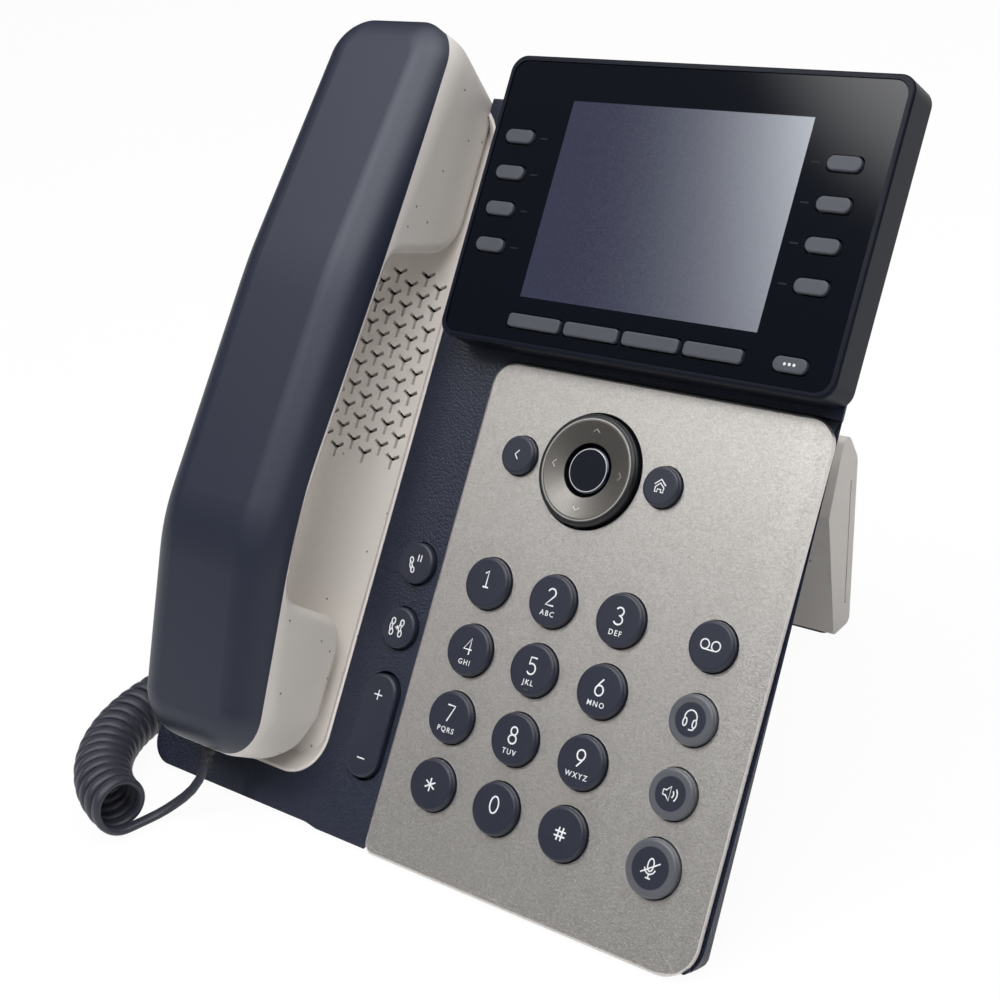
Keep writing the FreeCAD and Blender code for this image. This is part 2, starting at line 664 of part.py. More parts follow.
def grille_slots():
    """Three-armed slots on a hexagonal lattice over the loudspeaker."""
    slots = []
    column = SLOT_PITCH * cos(radians(30))
    columns = int(GRILLE_WIDTH / 2 / column)
    rows = int(GRILLE_HEIGHT / 2 / SLOT_PITCH)
    for across_step in range(-columns, columns + 1):
        shift = SLOT_PITCH / 2 if across_step % 2 else 0
        for up_step in range(-rows, rows + 1):
            x = CRADLE_X + across_step * column
            y = GRILLE_Y + up_step * SLOT_PITCH + shift
            for turn in (30, 150, 270):
                arm = Part.makeBox(SLOT_ARM, SLOT_WIDTH, CRADLE_THICK, V(0, -SLOT_WIDTH / 2, CRADLE_BACK))
                arm.rotate(V(0, 0, 0), V(0, 0, 1), turn)
                arm.translate(V(x, y, 0))
                slots.append(arm)
    return slots


def cradle():
    rim = cradle_outline(0, -CRADLE_THICK, 0)
    tray = cradle_outline(-CRADLE_LEDGE - FIT_GAP, CRADLE_BACK, -CRADLE_THICK)
    outlines = []
    for inset, z in ((CRADLE_LIP, 0), (CRADLE_LIP + CRADLE_SLOPE, -CRADLE_FLOOR)):
        corners = rectangle(CRADLE_LEFT + inset, CRADLE_RIGHT - inset, CRADLE_BOTTOM + inset,
                            CRADLE_TOP - inset, z)
        outlines.append(rounded_wire(corners, [CRADLE_CORNER - inset] * 4))
    pocket = Part.makeLoft(outlines, True, True)
    half_seat = HANDSET_WIDTH / 2 - HANDSET_CORNER / 2
    seat = slab(HANDSET_X - half_seat, HANDSET_X + half_seat, MOUTH_TOE_Y + MOUTH_REST_MARGIN,
                MOUTH_HEEL_Y - MOUTH_REST_MARGIN, -CRADLE_FLOOR, MOUTH_SEAT - SEAT_GAP, CUP_ROUND)
    hook_hole = disc(HANDSET_X, HOOK_Y, CRADLE_BACK, 0, HOOK_DIA + 2 * RUN_GAP)
    shell = rim.fuse(tray).cut(pocket).fuse(seat).removeSplitter()
    return shell.cut(grille_slots() + [hook_hole, ear_way(PLATE_THICK)])


def hook_switch():
    """Plunger that the ear end of the handset holds down."""
    top = EAR_SEAT - SEAT_GAP
    stem = softened(disc(HANDSET_X, HOOK_Y, CRADLE_BACK - HOOK_RISE, top, HOOK_DIA), top, KEY_EDGE)
    collar_top = CRADLE_BACK - HOOK_RISE - SEAT_GAP
    collar = disc(HANDSET_X, HOOK_Y, collar_top - KEY_LIP_THICK, collar_top, HOOK_DIA + 2 * KEY_LIP)
    neck = disc(HANDSET_X, HOOK_Y, collar_top - KEY_LIP_THICK, CRADLE_BACK - HOOK_RISE, HOOK_DIA)
    return stem.fuse([neck, collar])


# Keys

def round_face_keys():
    """Name, place and diameter of every round key on the faceplate."""
    names = ["1", "2", "3", "4", "5", "6", "7", "8", "9", "star", "0", "hash"]
    keys = {}
    for index, name in enumerate(names):
        keys["key_" + name] = (DIAL_COLUMNS[index % 3], DIAL_ROWS[index // 3], DIAL_DIA)
    functions = [("voicemail", FUNCTION_DIA), ("headset", FUNCTION_DIA), ("speaker", FUNCTION_DIA),
                 ("mute", MUTE_DIA)]
    for row, (name, diameter) in enumerate(functions):
        keys["key_" + name] = (FUNCTION_X, DIAL_ROWS[row], diameter)
    keys["key_back"] = (DIAL_X - MENU_KEY_OFFSET, NAV_Y, MENU_KEY_DIA)
    keys["key_home"] = (DIAL_X + MENU_KEY_OFFSET, NAV_Y, MENU_KEY_DIA)
    return keys


def side_key_places():
    """Keys in the dark strip, level with the first dial rows."""
    return {"key_hold": (SIDE_KEY_X, DIAL_ROWS[0]), "key_transfer": (SIDE_KEY_X, DIAL_ROWS[1])}


def round_key(x, y, diameter, top):
    """Round cap with a softened edge and a lip that holds it under the case."""
    cap = softened(disc(x, y, LIP_BOTTOM, top, diameter), top, KEY_EDGE)
    return cap.fuse(disc(x, y, LIP_BOTTOM, LIP_TOP, diameter + 2 * KEY_LIP))


def volume_rocker():
    """Oblong rocker that tips up and down about its middle."""
    top = SIDE_KEY_PROUD
    half_width = ROCKER_WIDTH / 2
    half_length = ROCKER_LENGTH / 2
    cap = slab(SIDE_KEY_X - half_width, SIDE_KEY_X + half_width, ROCKER_Y - half_length,
               ROCKER_Y + half_length, LIP_BOTTOM, top, half_width - FIT_GAP)
    return softened(cap, top, KEY_EDGE)


def nav_cap():
    """Dished ring round the select key."""
    top = PLATE_PROUD + NAV_PROUD
    skirt = softened(disc(DIAL_X, NAV_Y, LIP_TOP, top, NAV_DIA), top, KEY_EDGE)
    dish = Part.makeCone(SELECT_DIA / 2, NAV_FACE_DIA / 2, NAV_DISH, V(DIAL_X, NAV_Y, top - NAV_DISH))
    bore = disc(DIAL_X, NAV_Y, LIP_TOP, top, SELECT_DIA + 2 * NAV_TILT_GAP)
    under = disc(DIAL_X, NAV_Y, LIP_TOP, gimbal_top() + SEAT_GAP, GIMBAL_DIA + 2 * NAV_TILT_GAP)
    return skirt.cut([dish, bore, under])


def gimbal_top():
    """Level of the bosses that the nav ring rocks on."""
    return PLATE_BACK - GIMBAL_CROWN


def nav_gimbal():
    """Ring under the nav cap: it rocks one way on the mat, the cap the other way on it."""
    bore = SELECT_DIA + 2 * GIMBAL_BORE_GAP
    top = gimbal_top() - GIMBAL_CROWN
    low = top - GIMBAL_THICK
    ring = disc(DIAL_X, NAV_Y, low, top, GIMBAL_DIA).cut(disc(DIAL_X, NAV_Y, low, top, bore))
    width = (GIMBAL_DIA - bore) / 2 - 2 * GIMBAL_BOSS_MARGIN
    middle = (GIMBAL_DIA + bore) / 4
    bosses = []
    for side in (-1, 1):
        y = NAV_Y + side * middle
        bosses.append(Part.makeBox(GIMBAL_BOSS, width, gimbal_top() - low,
                                   V(DIAL_X - GIMBAL_BOSS / 2, y - width / 2, low)))
        x = DIAL_X + side * middle
        foot = MAT_TOP + SEAT_GAP
        bosses.append(Part.makeBox(width, GIMBAL_BOSS, top - foot,
                                   V(x - width / 2, NAV_Y - GIMBAL_BOSS / 2, foot)))
    return ring.fuse(bosses)


def select_key():
    top = PLATE_PROUD + SELECT_PROUD
    return softened(disc(DIAL_X, NAV_Y, LIP_BOTTOM, top, SELECT_DIA), top, KEY_EDGE)


def screen_key(x, y, length, width, end_round):
    """Flat key that stands through the lens, with a lip behind it."""
    top = LENS_TOP + SCREEN_KEY_PROUD
    lip_top = LENS_BACK - SEAT_GAP
    lip_bottom = lip_top - KEY_LIP_THICK
    cap = slab(x - length / 2, x + length / 2, y - width / 2, y + width / 2, lip_bottom, top, end_round)
    cap = softened(cap, top, SCREEN_KEY_EDGE)
    grown_length = length / 2 + SCREEN_KEY_LIP
    grown_width = width / 2 + SCREEN_KEY_LIP
    return cap.fuse(slab(x - grown_length, x + grown_length, y - grown_width, y + grown_width,
                         lip_bottom, lip_top, end_round))


def screen_keys():
    """Name, centre, length, width and corner radius of every key in the display."""
    keys = {}
    for side, offset in (("left", -LINE_KEY_OFFSET), ("right", LINE_KEY_OFFSET)):
        for row in range(4):
            y = LCD_Y + LINE_KEY_RISE + LINE_KEY_PITCH * (1.5 - row)
            keys["line_key_%s_%d" % (side, row + 1)] = (LCD_X + offset, y, LINE_KEY_LENGTH,
                                                        LINE_KEY_WIDTH, LINE_KEY_ROUND)
    for index in range(4):
        x = LCD_X + (SOFT_KEY_LENGTH + SOFT_KEY_GAP) * (index - 1.5)
        keys["soft_key_%d" % (index + 1)] = (x, SOFT_KEY_Y, SOFT_KEY_LENGTH, SOFT_KEY_WIDTH, SOFT_KEY_ROUND)
    keys["key_page"] = (LCD_X + LINE_KEY_OFFSET, SOFT_KEY_Y, LINE_KEY_LENGTH, LINE_KEY_WIDTH, LINE_KEY_ROUND)
    return keys


# Display

def display_outline(inset, z0, z1):
    return slab(DISPLAY_LEFT + inset, DISPLAY_RIGHT - inset, DISPLAY_BOTTOM + inset, DISPLAY_TOP - inset,
                z0, z1, DISPLAY_CORNER - inset / 2)


def display_bezel():
    shell = softened(display_outline(0, 0, DISPLAY_DEPTH), DISPLAY_DEPTH, DISPLAY_EDGE)
    well = display_outline(LENS_INSET - FIT_GAP, LENS_BACK, DISPLAY_DEPTH)
    hollow = display_outline(LENS_INSET + LENS_LEDGE, DISPLAY_FLOOR, LENS_BACK)
    return shell.cut([well, hollow, cable_slot(0, DISPLAY_FLOOR)])


def display_lens():
    lens = display_outline(LENS_INSET, LENS_BACK, LENS_TOP)
    holes = []
    for x, y, length, width, end_round in screen_keys().values():
        half_length = length / 2 + RUN_GAP
        half_width = width / 2 + RUN_GAP
        holes.append(slab(x - half_length, x + half_length, y - half_width, y + half_width,
                          LENS_BACK, LENS_TOP, end_round))
    return lens.cut(holes)


def lcd_module():
    """Liquid crystal panel on its board, behind the lens."""
    board = display_outline(LENS_INSET + LENS_LEDGE + SEAT_GAP, DISPLAY_FLOOR,
                            DISPLAY_FLOOR + DISPLAY_BOARD_THICK)
    low = DISPLAY_FLOOR + DISPLAY_BOARD_THICK
    panel = slab(LCD_X - LCD_WIDTH / 2, LCD_X + LCD_WIDTH / 2, LCD_Y - LCD_HEIGHT / 2,
                 LCD_Y + LCD_HEIGHT / 2, low, low + LCD_THICK, LCD_ROUND)
    return board.fuse(panel)


# Handset

def seam_level(y):
    """Height of the seam between the two shells, before its bend is rounded."""
    if y > SEAM_PEAK_Y:
        share = (y - SEAM_PEAK_Y) / (HANDSET_TOP - SEAM_PEAK_Y)
    else:
        share = (SEAM_PEAK_Y - y) / (SEAM_PEAK_Y - HANDSET_BOTTOM)
    return SEAM_PEAK + (SEAM_END - SEAM_PEAK) * share


def handset_sides(inset):
    """Left and right walls of the handset, drawn in by an inset."""
    half = HANDSET_WIDTH / 2 - inset
    return HANDSET_X - half, HANDSET_X + half


def back_block(inset):
    """Handset seen from its back: rounded plan, arched back and soft long edges."""
    x0, x1 = handset_sides(inset)
    low = EAR_SEAT - HANDSET_EDGE
    reach = HANDSET_CORNER
    upper_slope = (BACK_UPPER - BACK_EAR_END) / (HANDSET_TOP - BACK_UPPER_Y)
    lower_slope = (BACK_LOWER - BACK_MOUTH_END) / (BACK_LOWER_Y - HANDSET_BOTTOM)
    arch = [(HANDSET_BOTTOM - reach, low), (HANDSET_TOP + reach, low),
            (HANDSET_TOP + reach, BACK_EAR_END - upper_slope * reach - inset),
            (BACK_UPPER_Y, BACK_UPPER - inset), (BACK_LOWER_Y, BACK_LOWER - inset),
            (HANDSET_BOTTOM - reach, BACK_MOUTH_END - lower_slope * reach - inset)]
    radii = [0, 0, 0, SEAM_ROUND, BACK_ROUND, 0]
    plan = slab(x0, x1, HANDSET_BOTTOM + inset, HANDSET_TOP - inset, low, BACK_LOWER + HANDSET_EDGE,
                HANDSET_CORNER - inset)
    block = plan.common(across(arch, radii, x0 - reach, x1 + reach)).Solids[0]
    rim = [edge for edge in block.Edges
           if edge.BoundBox.ZMin > low + FIT_GAP and edge.BoundBox.XLength < x1 - x0 - FIT_GAP]
    return block.makeFillet(HANDSET_EDGE - inset, rim)


def under_block(inset, rounding):
    """Handset seen from its side: mouth block, grip and ear cup along its underside."""
    x0, x1 = handset_sides(inset)
    y0 = HANDSET_BOTTOM + inset
    y1 = HANDSET_TOP - inset
    high = BACK_LOWER + HANDSET_EDGE
    heel = MOUTH_HEEL_Y + MOUTH_RAMP
    side = inset / 2
    outline = [(y0, MOUTH_TOE_RISE + inset), (MOUTH_TOE_Y + side, MOUTH_SEAT + inset),
               (MOUTH_HEEL_Y - side, MOUTH_SEAT + inset), (heel - side, seam_level(heel) - GRIP_DROP + inset),
               (SEAM_PEAK_Y, SEAM_PEAK - GRIP_DROP + inset),
               (EAR_RAMP_Y + side, seam_level(EAR_RAMP_Y) - GRIP_DROP + inset),
               (EAR_RAMP_Y + EAR_RAMP + side, EAR_SEAT + inset),
               (HANDSET_TOP - EAR_TIP_SETBACK - side, EAR_SEAT + inset),
               (y1 - EAR_END_STEP, SEAM_END + EAR_END_RISE + inset), (y1, SEAM_END + EAR_END_RISE + inset),
               (y1, high), (y0, high)]
    radii = [CUP_ROUND, CUP_ROUND, MOUTH_HEEL_ROUND, CUP_ROUND, GRIP_ROUND, CUP_ROUND, EAR_HEEL_ROUND,
             EAR_TIP_ROUND, EAR_END_ROUND, 0, 0, 0]
    block = across(outline, radii, x0, x1)
    if not rounding:
        return block
    lower = [edge for edge in block.Edges
             if edge.BoundBox.XLength < FIT_GAP and edge.BoundBox.ZMax < high - FIT_GAP]
    return block.makeFillet(rounding, lower)


def handset_wall():
    """Both shells together, hollow."""
    outer = back_block(0).common(under_block(0, HANDSET_UNDER_EDGE))
    inner = back_block(HANDSET_WALL).common(under_block(HANDSET_WALL, 0))
    return outer.cut(inner)


def above_seam():
    """Space on the back's side of the seam between the shells."""
    high = BACK_LOWER + HANDSET_EDGE
    outline = [(HANDSET_BOTTOM - HANDSET_EDGE, seam_level(HANDSET_BOTTOM - HANDSET_EDGE)),
               (SEAM_PEAK_Y, SEAM_PEAK), (HANDSET_TOP + HANDSET_EDGE, seam_level(HANDSET_TOP + HANDSET_EDGE)),
               (HANDSET_TOP + HANDSET_EDGE, high), (HANDSET_BOTTOM - HANDSET_EDGE, high)]
    x0, x1 = handset_sides(-HANDSET_EDGE)
    return across(outline, [0, SEAM_ROUND, 0, 0, 0], x0, x1)


def handset_back_shell():
    return handset_wall().common(above_seam())


def handset_front_shell():
    shell = handset_wall().cut(above_seam())
    holes = [disc(HANDSET_X, MIC_Y, MOUTH_SEAT, MOUTH_SEAT + HANDSET_WALL, EAR_HOLE_DIA)]
    for index in range(EAR_HOLE_COUNT):
        turn = 2 * pi * index / EAR_HOLE_COUNT
        x = HANDSET_X + EAR_HOLE_RING / 2 * cos(turn)
        y = EAR_CAPSULE_Y + EAR_HOLE_RING / 2 * sin(turn)
        holes.append(disc(x, y, EAR_SEAT, EAR_SEAT + HANDSET_WALL, EAR_HOLE_DIA))
    return shell.cut(holes)


def handset_capsules():
    """Earpiece and microphone, seated on the floors of their cups."""
    ear_floor = EAR_SEAT + HANDSET_WALL
    mouth_floor = MOUTH_SEAT + HANDSET_WALL
    ear = softened(disc(HANDSET_X, EAR_CAPSULE_Y, ear_floor, ear_floor + EAR_CAPSULE_DEPTH, EAR_CAPSULE_DIA),
                   ear_floor + EAR_CAPSULE_DEPTH, KEY_EDGE)
    mic = disc(HANDSET_X, MIC_Y, mouth_floor, mouth_floor + MIC_DEPTH, MIC_DIA)
    return Part.makeCompound([ear, mic])


# Stand

def arm_spans():
    """From and to of each stand arm across the base."""
    outer = STAND_WIDTH / 2 - ARM_INSET
    inner = outer - ARM_WIDTH
    return [(-outer, -inner), (inner, outer)]


def lug_places():
    """Low side of each ear that holds an arm."""
    places = []
    for low, high in arm_spans():
        places.append(low - RUN_GAP - LUG_THICK)
        places.append(high + RUN_GAP)
    return places


def hinge_axis():
    """Point on the stand's hinge, on the desk."""
    return on_desk(0, HINGE_Y, HINGE_Z)


def leg_front():
    """Front of the leg, behind the hinge."""
    return hinge_axis().y + LEG_SETBACK


def stand_leg():
    """Upright leg with a cable arch and a fine groove near its back edge."""
    front = leg_front()
    heel = front + LEG_FOOT
    outline = [(front, PAD_HEIGHT), (heel, PAD_HEIGHT), (heel + LEG_BACK_SLOPE, LEG_SHOULDER),
               (front + LEG_TOP_SETBACK, LEG_TOP), (front, LEG_CROTCH)]
    radii = [LEG_TOE_ROUND, LEG_ROUND, LEG_SHOULDER_ROUND, LEG_ROUND, LEG_ROUND]
    leg = across(outline, radii, -STAND_WIDTH / 2, STAND_WIDTH / 2)
    arch = across([(front - LEG_FOOT, 0), (heel + LEG_FOOT, 0), (heel + LEG_FOOT, LEG_ARCH_HEIGHT),
                   (front - LEG_FOOT, LEG_ARCH_HEIGHT)], [0] * 4, -LEG_ARCH_WIDTH / 2, LEG_ARCH_WIDTH / 2)
    tilt = degrees(atan2(LEG_BACK_SLOPE, LEG_SHOULDER - PAD_HEIGHT))
    length = LEG_SHOULDER - LEG_ARCH_HEIGHT
    grooves = []
    for x in (-STAND_WIDTH / 2, STAND_WIDTH / 2 - LEG_GROOVE):
        groove = Part.makeBox(LEG_GROOVE, LEG_GROOVE, length, V(x, heel - LEG_GROOVE_INSET, PAD_HEIGHT))
        groove.rotate(V(x, heel, PAD_HEIGHT), V(1, 0, 0), -tilt)
        groove.translate(V(0, 0, LEG_GROOVE_RISE))
        grooves.append(groove)
    return leg.cut([arch] + grooves)


def stand_arm(low, high):
    """Arm from the hinge barrel down into the leg, with pins at both sides."""
    hinge = hinge_axis()
    foot_y = leg_front() + LEG_TOP_SETBACK
    foot_z = (LEG_SHOULDER + LEG_CROTCH) / 2 + LEG_ROUND
    run = V(0, foot_y - LEG_ROUND - hinge.y, foot_z - hinge.z).normalize()
    side = V(0, -run.z, run.y) * (ARM_THICK / 2)
    foot = V(0, foot_y - LEG_ROUND, foot_z)
    corners = [hinge + side, foot + side, foot - side, hinge - side]
    beam = across([(point.y, point.z) for point in corners], [0] * 4, low, high)
    barrel = Part.makeCylinder(HINGE_DIA / 2, high - low, V(low, hinge.y, hinge.z), V(1, 0, 0))
    pin = Part.makeCylinder(HINGE_PIN_DIA / 2, high - low + 2 * HINGE_PIN_REACH,
                            V(low - HINGE_PIN_REACH, hinge.y, hinge.z), V(1, 0, 0))
    return beam.fuse([barrel, pin])


def stand():
    body = stand_leg()
    return body.fuse([stand_arm(low, high) for low, high in arm_spans()]).removeSplitter()


def stand_feet():
    """Rubber pads under the leg."""
    pads = []
    middle = leg_front() + LEG_FOOT / 2
    for side in (-1, 1):
        x = side * (STAND_WIDTH + LEG_ARCH_WIDTH) / 4
        pads.append(slab(x - PAD_LENGTH / 2, x + PAD_LENGTH / 2, middle - PAD_WIDTH / 2,
                         middle + PAD_WIDTH / 2, 0, PAD_HEIGHT, PAD_ROUND))
    return Part.makeCompound(pads)


# Curly cord

def swept(edges, start, heading, label, length):
    """Round cord along a path, with its volume set against section times length."""
    section = Part.Wire(Part.makeCircle(CORD_DIA / 2, start, heading))
    solid = Part.Wire(edges).makePipeShell([section], True, False)
    expected = pi * CORD_DIA ** 2 / 4 * length
    print("%s: length %.1f mm, volume ratio %.4f" % (label, length, solid.Volume / expected))
    return solid


def tube(points, label):
    """Cord on straight runs joined by arcs as large as the runs allow."""
    edges = []
    radii = []
    last = points[0]
    for before, corner, after in zip(points, points[1:], points[2:]):
        back = before - corner
        ahead = after - corner
        shorter = min(back.Length, ahead.Length)
        back.normalize()
        ahead.normalize()
        half = back.getAngle(ahead) / 2
        reach = CORD_ARC_SHARE * shorter
        radius = reach * tan(half)
        inward = (back + ahead).normalize()
        middle = corner + inward * (radius / sin(half) - radius)
        edges.append(Part.LineSegment(last, corner + back * reach).toShape())
        edges.append(Part.Arc(corner + back * reach, middle, corner + ahead * reach).toShape())
        last = corner + ahead * reach
        radii.append(radius)
    edges.append(Part.LineSegment(last, points[-1]).toShape())
    print(label, "radii", ["%.1f" % radius for radius in radii])
    length = sum(edge.Length for edge in edges)
    return swept(edges, points[0], points[1] - points[0], label, length)


def coil_length():
    return COIL_TURNS * COIL_PITCH


def coil_axis(distance):
    """Point and heading of the coil's centre line, from its back end to its front end."""
    bend = COIL_BEND * radians(90 + COIL_END_HEADING)
    straight = coil_length() - bend
    finish = radians(COIL_END_HEADING)
    centre_x = COIL_END_X - COIL_BEND * sin(finish)
    centre_y = COIL_END_Y + COIL_BEND * cos(finish)
    height = COIL_DIA / 2 + FIT_GAP
    if distance < straight:
        return V(centre_x - COIL_BEND, centre_y + straight - distance, height), V(0, -1, 0)
    turn = (distance - straight) / COIL_BEND - pi / 2
    point = V(centre_x + COIL_BEND * sin(turn), centre_y - COIL_BEND * cos(turn), height)
    return point, V(cos(turn), sin(turn), 0)


def coil_point(distance):
    """Point on the wire of the coil; it reaches the desk side at the front end."""
    centre, heading = coil_axis(distance)
    turn = pi - 2 * pi * (coil_length() - distance) / COIL_PITCH
    radius = (COIL_DIA - CORD_DIA) / 2
    up = V(0, 0, 1)
    return centre + up * (radius * cos(turn)) + heading.cross(up) * (radius * sin(turn))


def coil_heading(distance):
    """Direction of the wire at a distance along the coil."""
    step = COIL_PITCH / 1000
    return (coil_point(distance + step) - coil_point(distance - step)).normalize()


def arc_from(start, heading, end):
    """Arc that leaves a point along a heading and ends at another point."""
    chord = end - start
    lean_angle = heading.getAngle(chord)
    middle = start + chord * 0.5
    rise = (heading - chord * (heading.dot(chord) / chord.dot(chord))).normalize()
    return Part.Arc(start, middle + rise * (chord.Length / 2 * tan(lean_angle / 2)), end).toShape()


def biarc(start, start_heading, end, end_heading):
    """Two arcs that join two points smoothly in their headings."""
    chord = end - start
    total = start_heading + end_heading
    spread = 2 * (1 - start_heading.dot(end_heading))
    along = chord.dot(total)
    reach = (sqrt(along ** 2 + spread * chord.dot(chord)) - along) / spread
    joint = (start + start_heading * reach + end - end_heading * reach) * 0.5
    first = arc_from(start, start_heading, joint)
    second = arc_from(end, end_heading * -1, joint)
    return [first, Part.Arc(joint, second.valueAt(sum(second.ParameterRange) / 2), end).toShape()]


def coil_gap():
    """Least gap between the coil's turns, measured on points of the wire."""
    steps = 36
    count = int(COIL_TURNS * steps)
    points = [coil_point(coil_length() * index / count) for index in range(count + 1)]
    least = COIL_DIA
    for index, point in enumerate(points):
        for other in points[index + steps // 2:index + 2 * steps]:
            least = min(least, (point - other).Length)
    return least - CORD_DIA


def coil_ends():
    """Outer ends of the coil's short straight tips, and the directions out of them."""
    back_out = coil_heading(0) * -1
    front_out = coil_heading(coil_length())
    back = coil_point(0) + back_out * CORD_DIA
    front = coil_point(coil_length()) + front_out * CORD_DIA
    return back, back_out, front, front_out


def cord_coil():
    back, back_out, front, front_out = coil_ends()
    count = int(2 * COIL_TURNS)
    marks = [coil_length() * index / count for index in range(count + 1)]
    edges = [Part.LineSegment(back, coil_point(0)).toShape()]
    for low, high in zip(marks, marks[1:]):
        edges += biarc(coil_point(low), coil_heading(low), coil_point(high), coil_heading(high))
    edges.append(Part.LineSegment(coil_point(coil_length()), front).toShape())
    print("coil: least gap between turns %.2f mm" % coil_gap())
    return swept(edges, back, back_out * -1, "coil", sum(edge.Length for edge in edges))


def cord_tail():
    """From the lower end of the handset to the front of the coil."""
    _, _, front, front_out = coil_ends()
    exit_low = HANDSET_BOTTOM - FIT_GAP
    start = on_desk(HANDSET_X, exit_low, CORD_EXIT_Z)
    straight = on_desk(HANDSET_X, exit_low - CORD_STRAIGHT, CORD_EXIT_Z)
    landing = front + front_out * CORD_STRAIGHT
    return tube([start, straight] + [V(*point) for point in TAIL_POINTS] + [landing, front], "tail")


def plug_tip():
    """Level of the boot's narrow end, behind the back panel."""
    return -REAR_DEPTH - PLUG_REACH - BOOT_LENGTH


def cord_lead():
    """From the plug's boot to the back of the coil."""
    back, back_out, _, _ = coil_ends()
    start = on_desk(CORD_JACK_X, JACK_Y, plug_tip())
    straight = on_desk(CORD_JACK_X, JACK_Y, plug_tip() - CORD_STRAIGHT)
    landing = back + back_out * CORD_STRAIGHT
    return tube([start, straight] + [V(*point) for point in LEAD_POINTS] + [landing, back], "lead")


def cord_plug():
    """Modular plug in the handset jack, with a tapered boot."""
    inner = -REAR_DEPTH + CORD_JACK_DEPTH - PORT_BACK - SEAT_GAP
    outer = -REAR_DEPTH - PLUG_REACH
    body = Part.makeBox(PLUG_WIDTH, PLUG_HEIGHT, inner - outer,
                        V(CORD_JACK_X - PLUG_WIDTH / 2, JACK_Y - PLUG_HEIGHT / 2, outer))
    boot = Part.makeCone(CORD_DIA / 2 + SEAT_GAP, BOOT_DIA / 2, BOOT_LENGTH,
                         V(CORD_JACK_X, JACK_Y, plug_tip()))
    return body.fuse(boot)


# Assembly

def leaning_pieces():
    """Every piece that is drawn in the face frame."""
    pieces = {"front_case": front_case(), "rear_case": rear_case(), "faceplate": faceplate(),
              "display_bezel": display_bezel(), "display_lens": display_lens(), "lcd_module": lcd_module(),
              "cradle": cradle(), "hook_switch": hook_switch(), "loudspeaker": loudspeaker(),
              "main_board": main_board(), "keypad_mat": keypad_mat(), "rear_jacks": rear_jacks(),
              "case_screws": case_screws(), "nav_gimbal": nav_gimbal(), "nav_ring": nav_cap(),
              "key_select": select_key(), "volume_rocker": volume_rocker(),
              "handset_back_shell": handset_back_shell(), "handset_front_shell": handset_front_shell(),
              "handset_capsules": handset_capsules(), "cord_plug": cord_plug()}
    for name, (x, y, diameter) in round_face_keys().items():
        pieces[name] = round_key(x, y, diameter, KEY_TOP)
    for name, (x, y) in side_key_places().items():
        pieces[name] = round_key(x, y, SIDE_KEY_DIA, SIDE_KEY_PROUD)
    for name, (x, y, length, width, end_round) in screen_keys().items():
        pieces[name] = screen_key(x, y, length, width, end_round)
    return pieces


def desk_pieces():
    """Every piece that is drawn on the desk."""
    return {"base_feet": base_feet(), "stand": stand(), "stand_feet": stand_feet(),
            "cord_tail": cord_tail(), "cord_coil": cord_coil(), "cord_lead": cord_lead()}


def origin_of(pieces):
    """Middle of the underside of the phone's box, the cord left out."""
    boxes = [shape.optimalBoundingBox(False, False) for name, shape in pieces.items()
             if not name.startswith("cord_")]
    x = (min(box.XMin for box in boxes) + max(box.XMax for box in boxes)) / 2
    y = (min(box.YMin for box in boxes) + max(box.YMax for box in boxes)) / 2
    return V(x, y, min(box.ZMin for box in boxes))


def main():
    os.makedirs("parts", exist_ok=True)
    pieces = {name: lean(shape) for name, shape in leaning_pieces().items()}
    pieces.update(desk_pieces())
    origin = origin_of(pieces)
    print("origin from the front of the face: %.4f %.4f %.4f" % tuple(origin))
    for name, shape in pieces.items():
        shape.translate(origin * -1)
        shape.exportStep("parts/%s.step" % name)


if __name__ == "__main__":
    main()
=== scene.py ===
import math

import bpy
from mathutils import Matrix, Vector
from mathutils.bvhtree import BVHTree


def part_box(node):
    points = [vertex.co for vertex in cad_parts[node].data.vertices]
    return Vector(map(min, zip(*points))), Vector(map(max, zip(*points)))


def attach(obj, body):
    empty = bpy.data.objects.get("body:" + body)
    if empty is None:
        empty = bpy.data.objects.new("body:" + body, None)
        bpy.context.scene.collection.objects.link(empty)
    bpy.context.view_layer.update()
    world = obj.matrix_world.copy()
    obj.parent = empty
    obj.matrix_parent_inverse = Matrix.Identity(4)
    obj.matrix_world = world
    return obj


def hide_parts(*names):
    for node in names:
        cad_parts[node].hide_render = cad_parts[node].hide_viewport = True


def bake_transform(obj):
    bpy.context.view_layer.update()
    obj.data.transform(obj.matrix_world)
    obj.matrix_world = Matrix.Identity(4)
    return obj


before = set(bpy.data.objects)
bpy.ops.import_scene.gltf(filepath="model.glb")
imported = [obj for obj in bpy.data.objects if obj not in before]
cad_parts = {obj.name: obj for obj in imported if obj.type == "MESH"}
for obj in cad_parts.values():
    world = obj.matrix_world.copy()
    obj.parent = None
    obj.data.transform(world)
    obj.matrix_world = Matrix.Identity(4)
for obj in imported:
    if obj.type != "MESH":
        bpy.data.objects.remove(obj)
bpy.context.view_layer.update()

# Face of the phone: millimetres across it, up it and out of it
FACE_LEAN = math.radians(54.5)
FACE_PLACE = (-0.0007, -0.0796711, 0.0006193)
FACE = (Matrix.Translation(FACE_PLACE) @ Matrix.Rotation(FACE_LEAN, 4, "X")
        @ Matrix.Scale(0.001, 4))
OFF_FACE = FACE.inverted()
OUT = (FACE.to_3x3() @ Vector((0, 0, 1))).normalized()

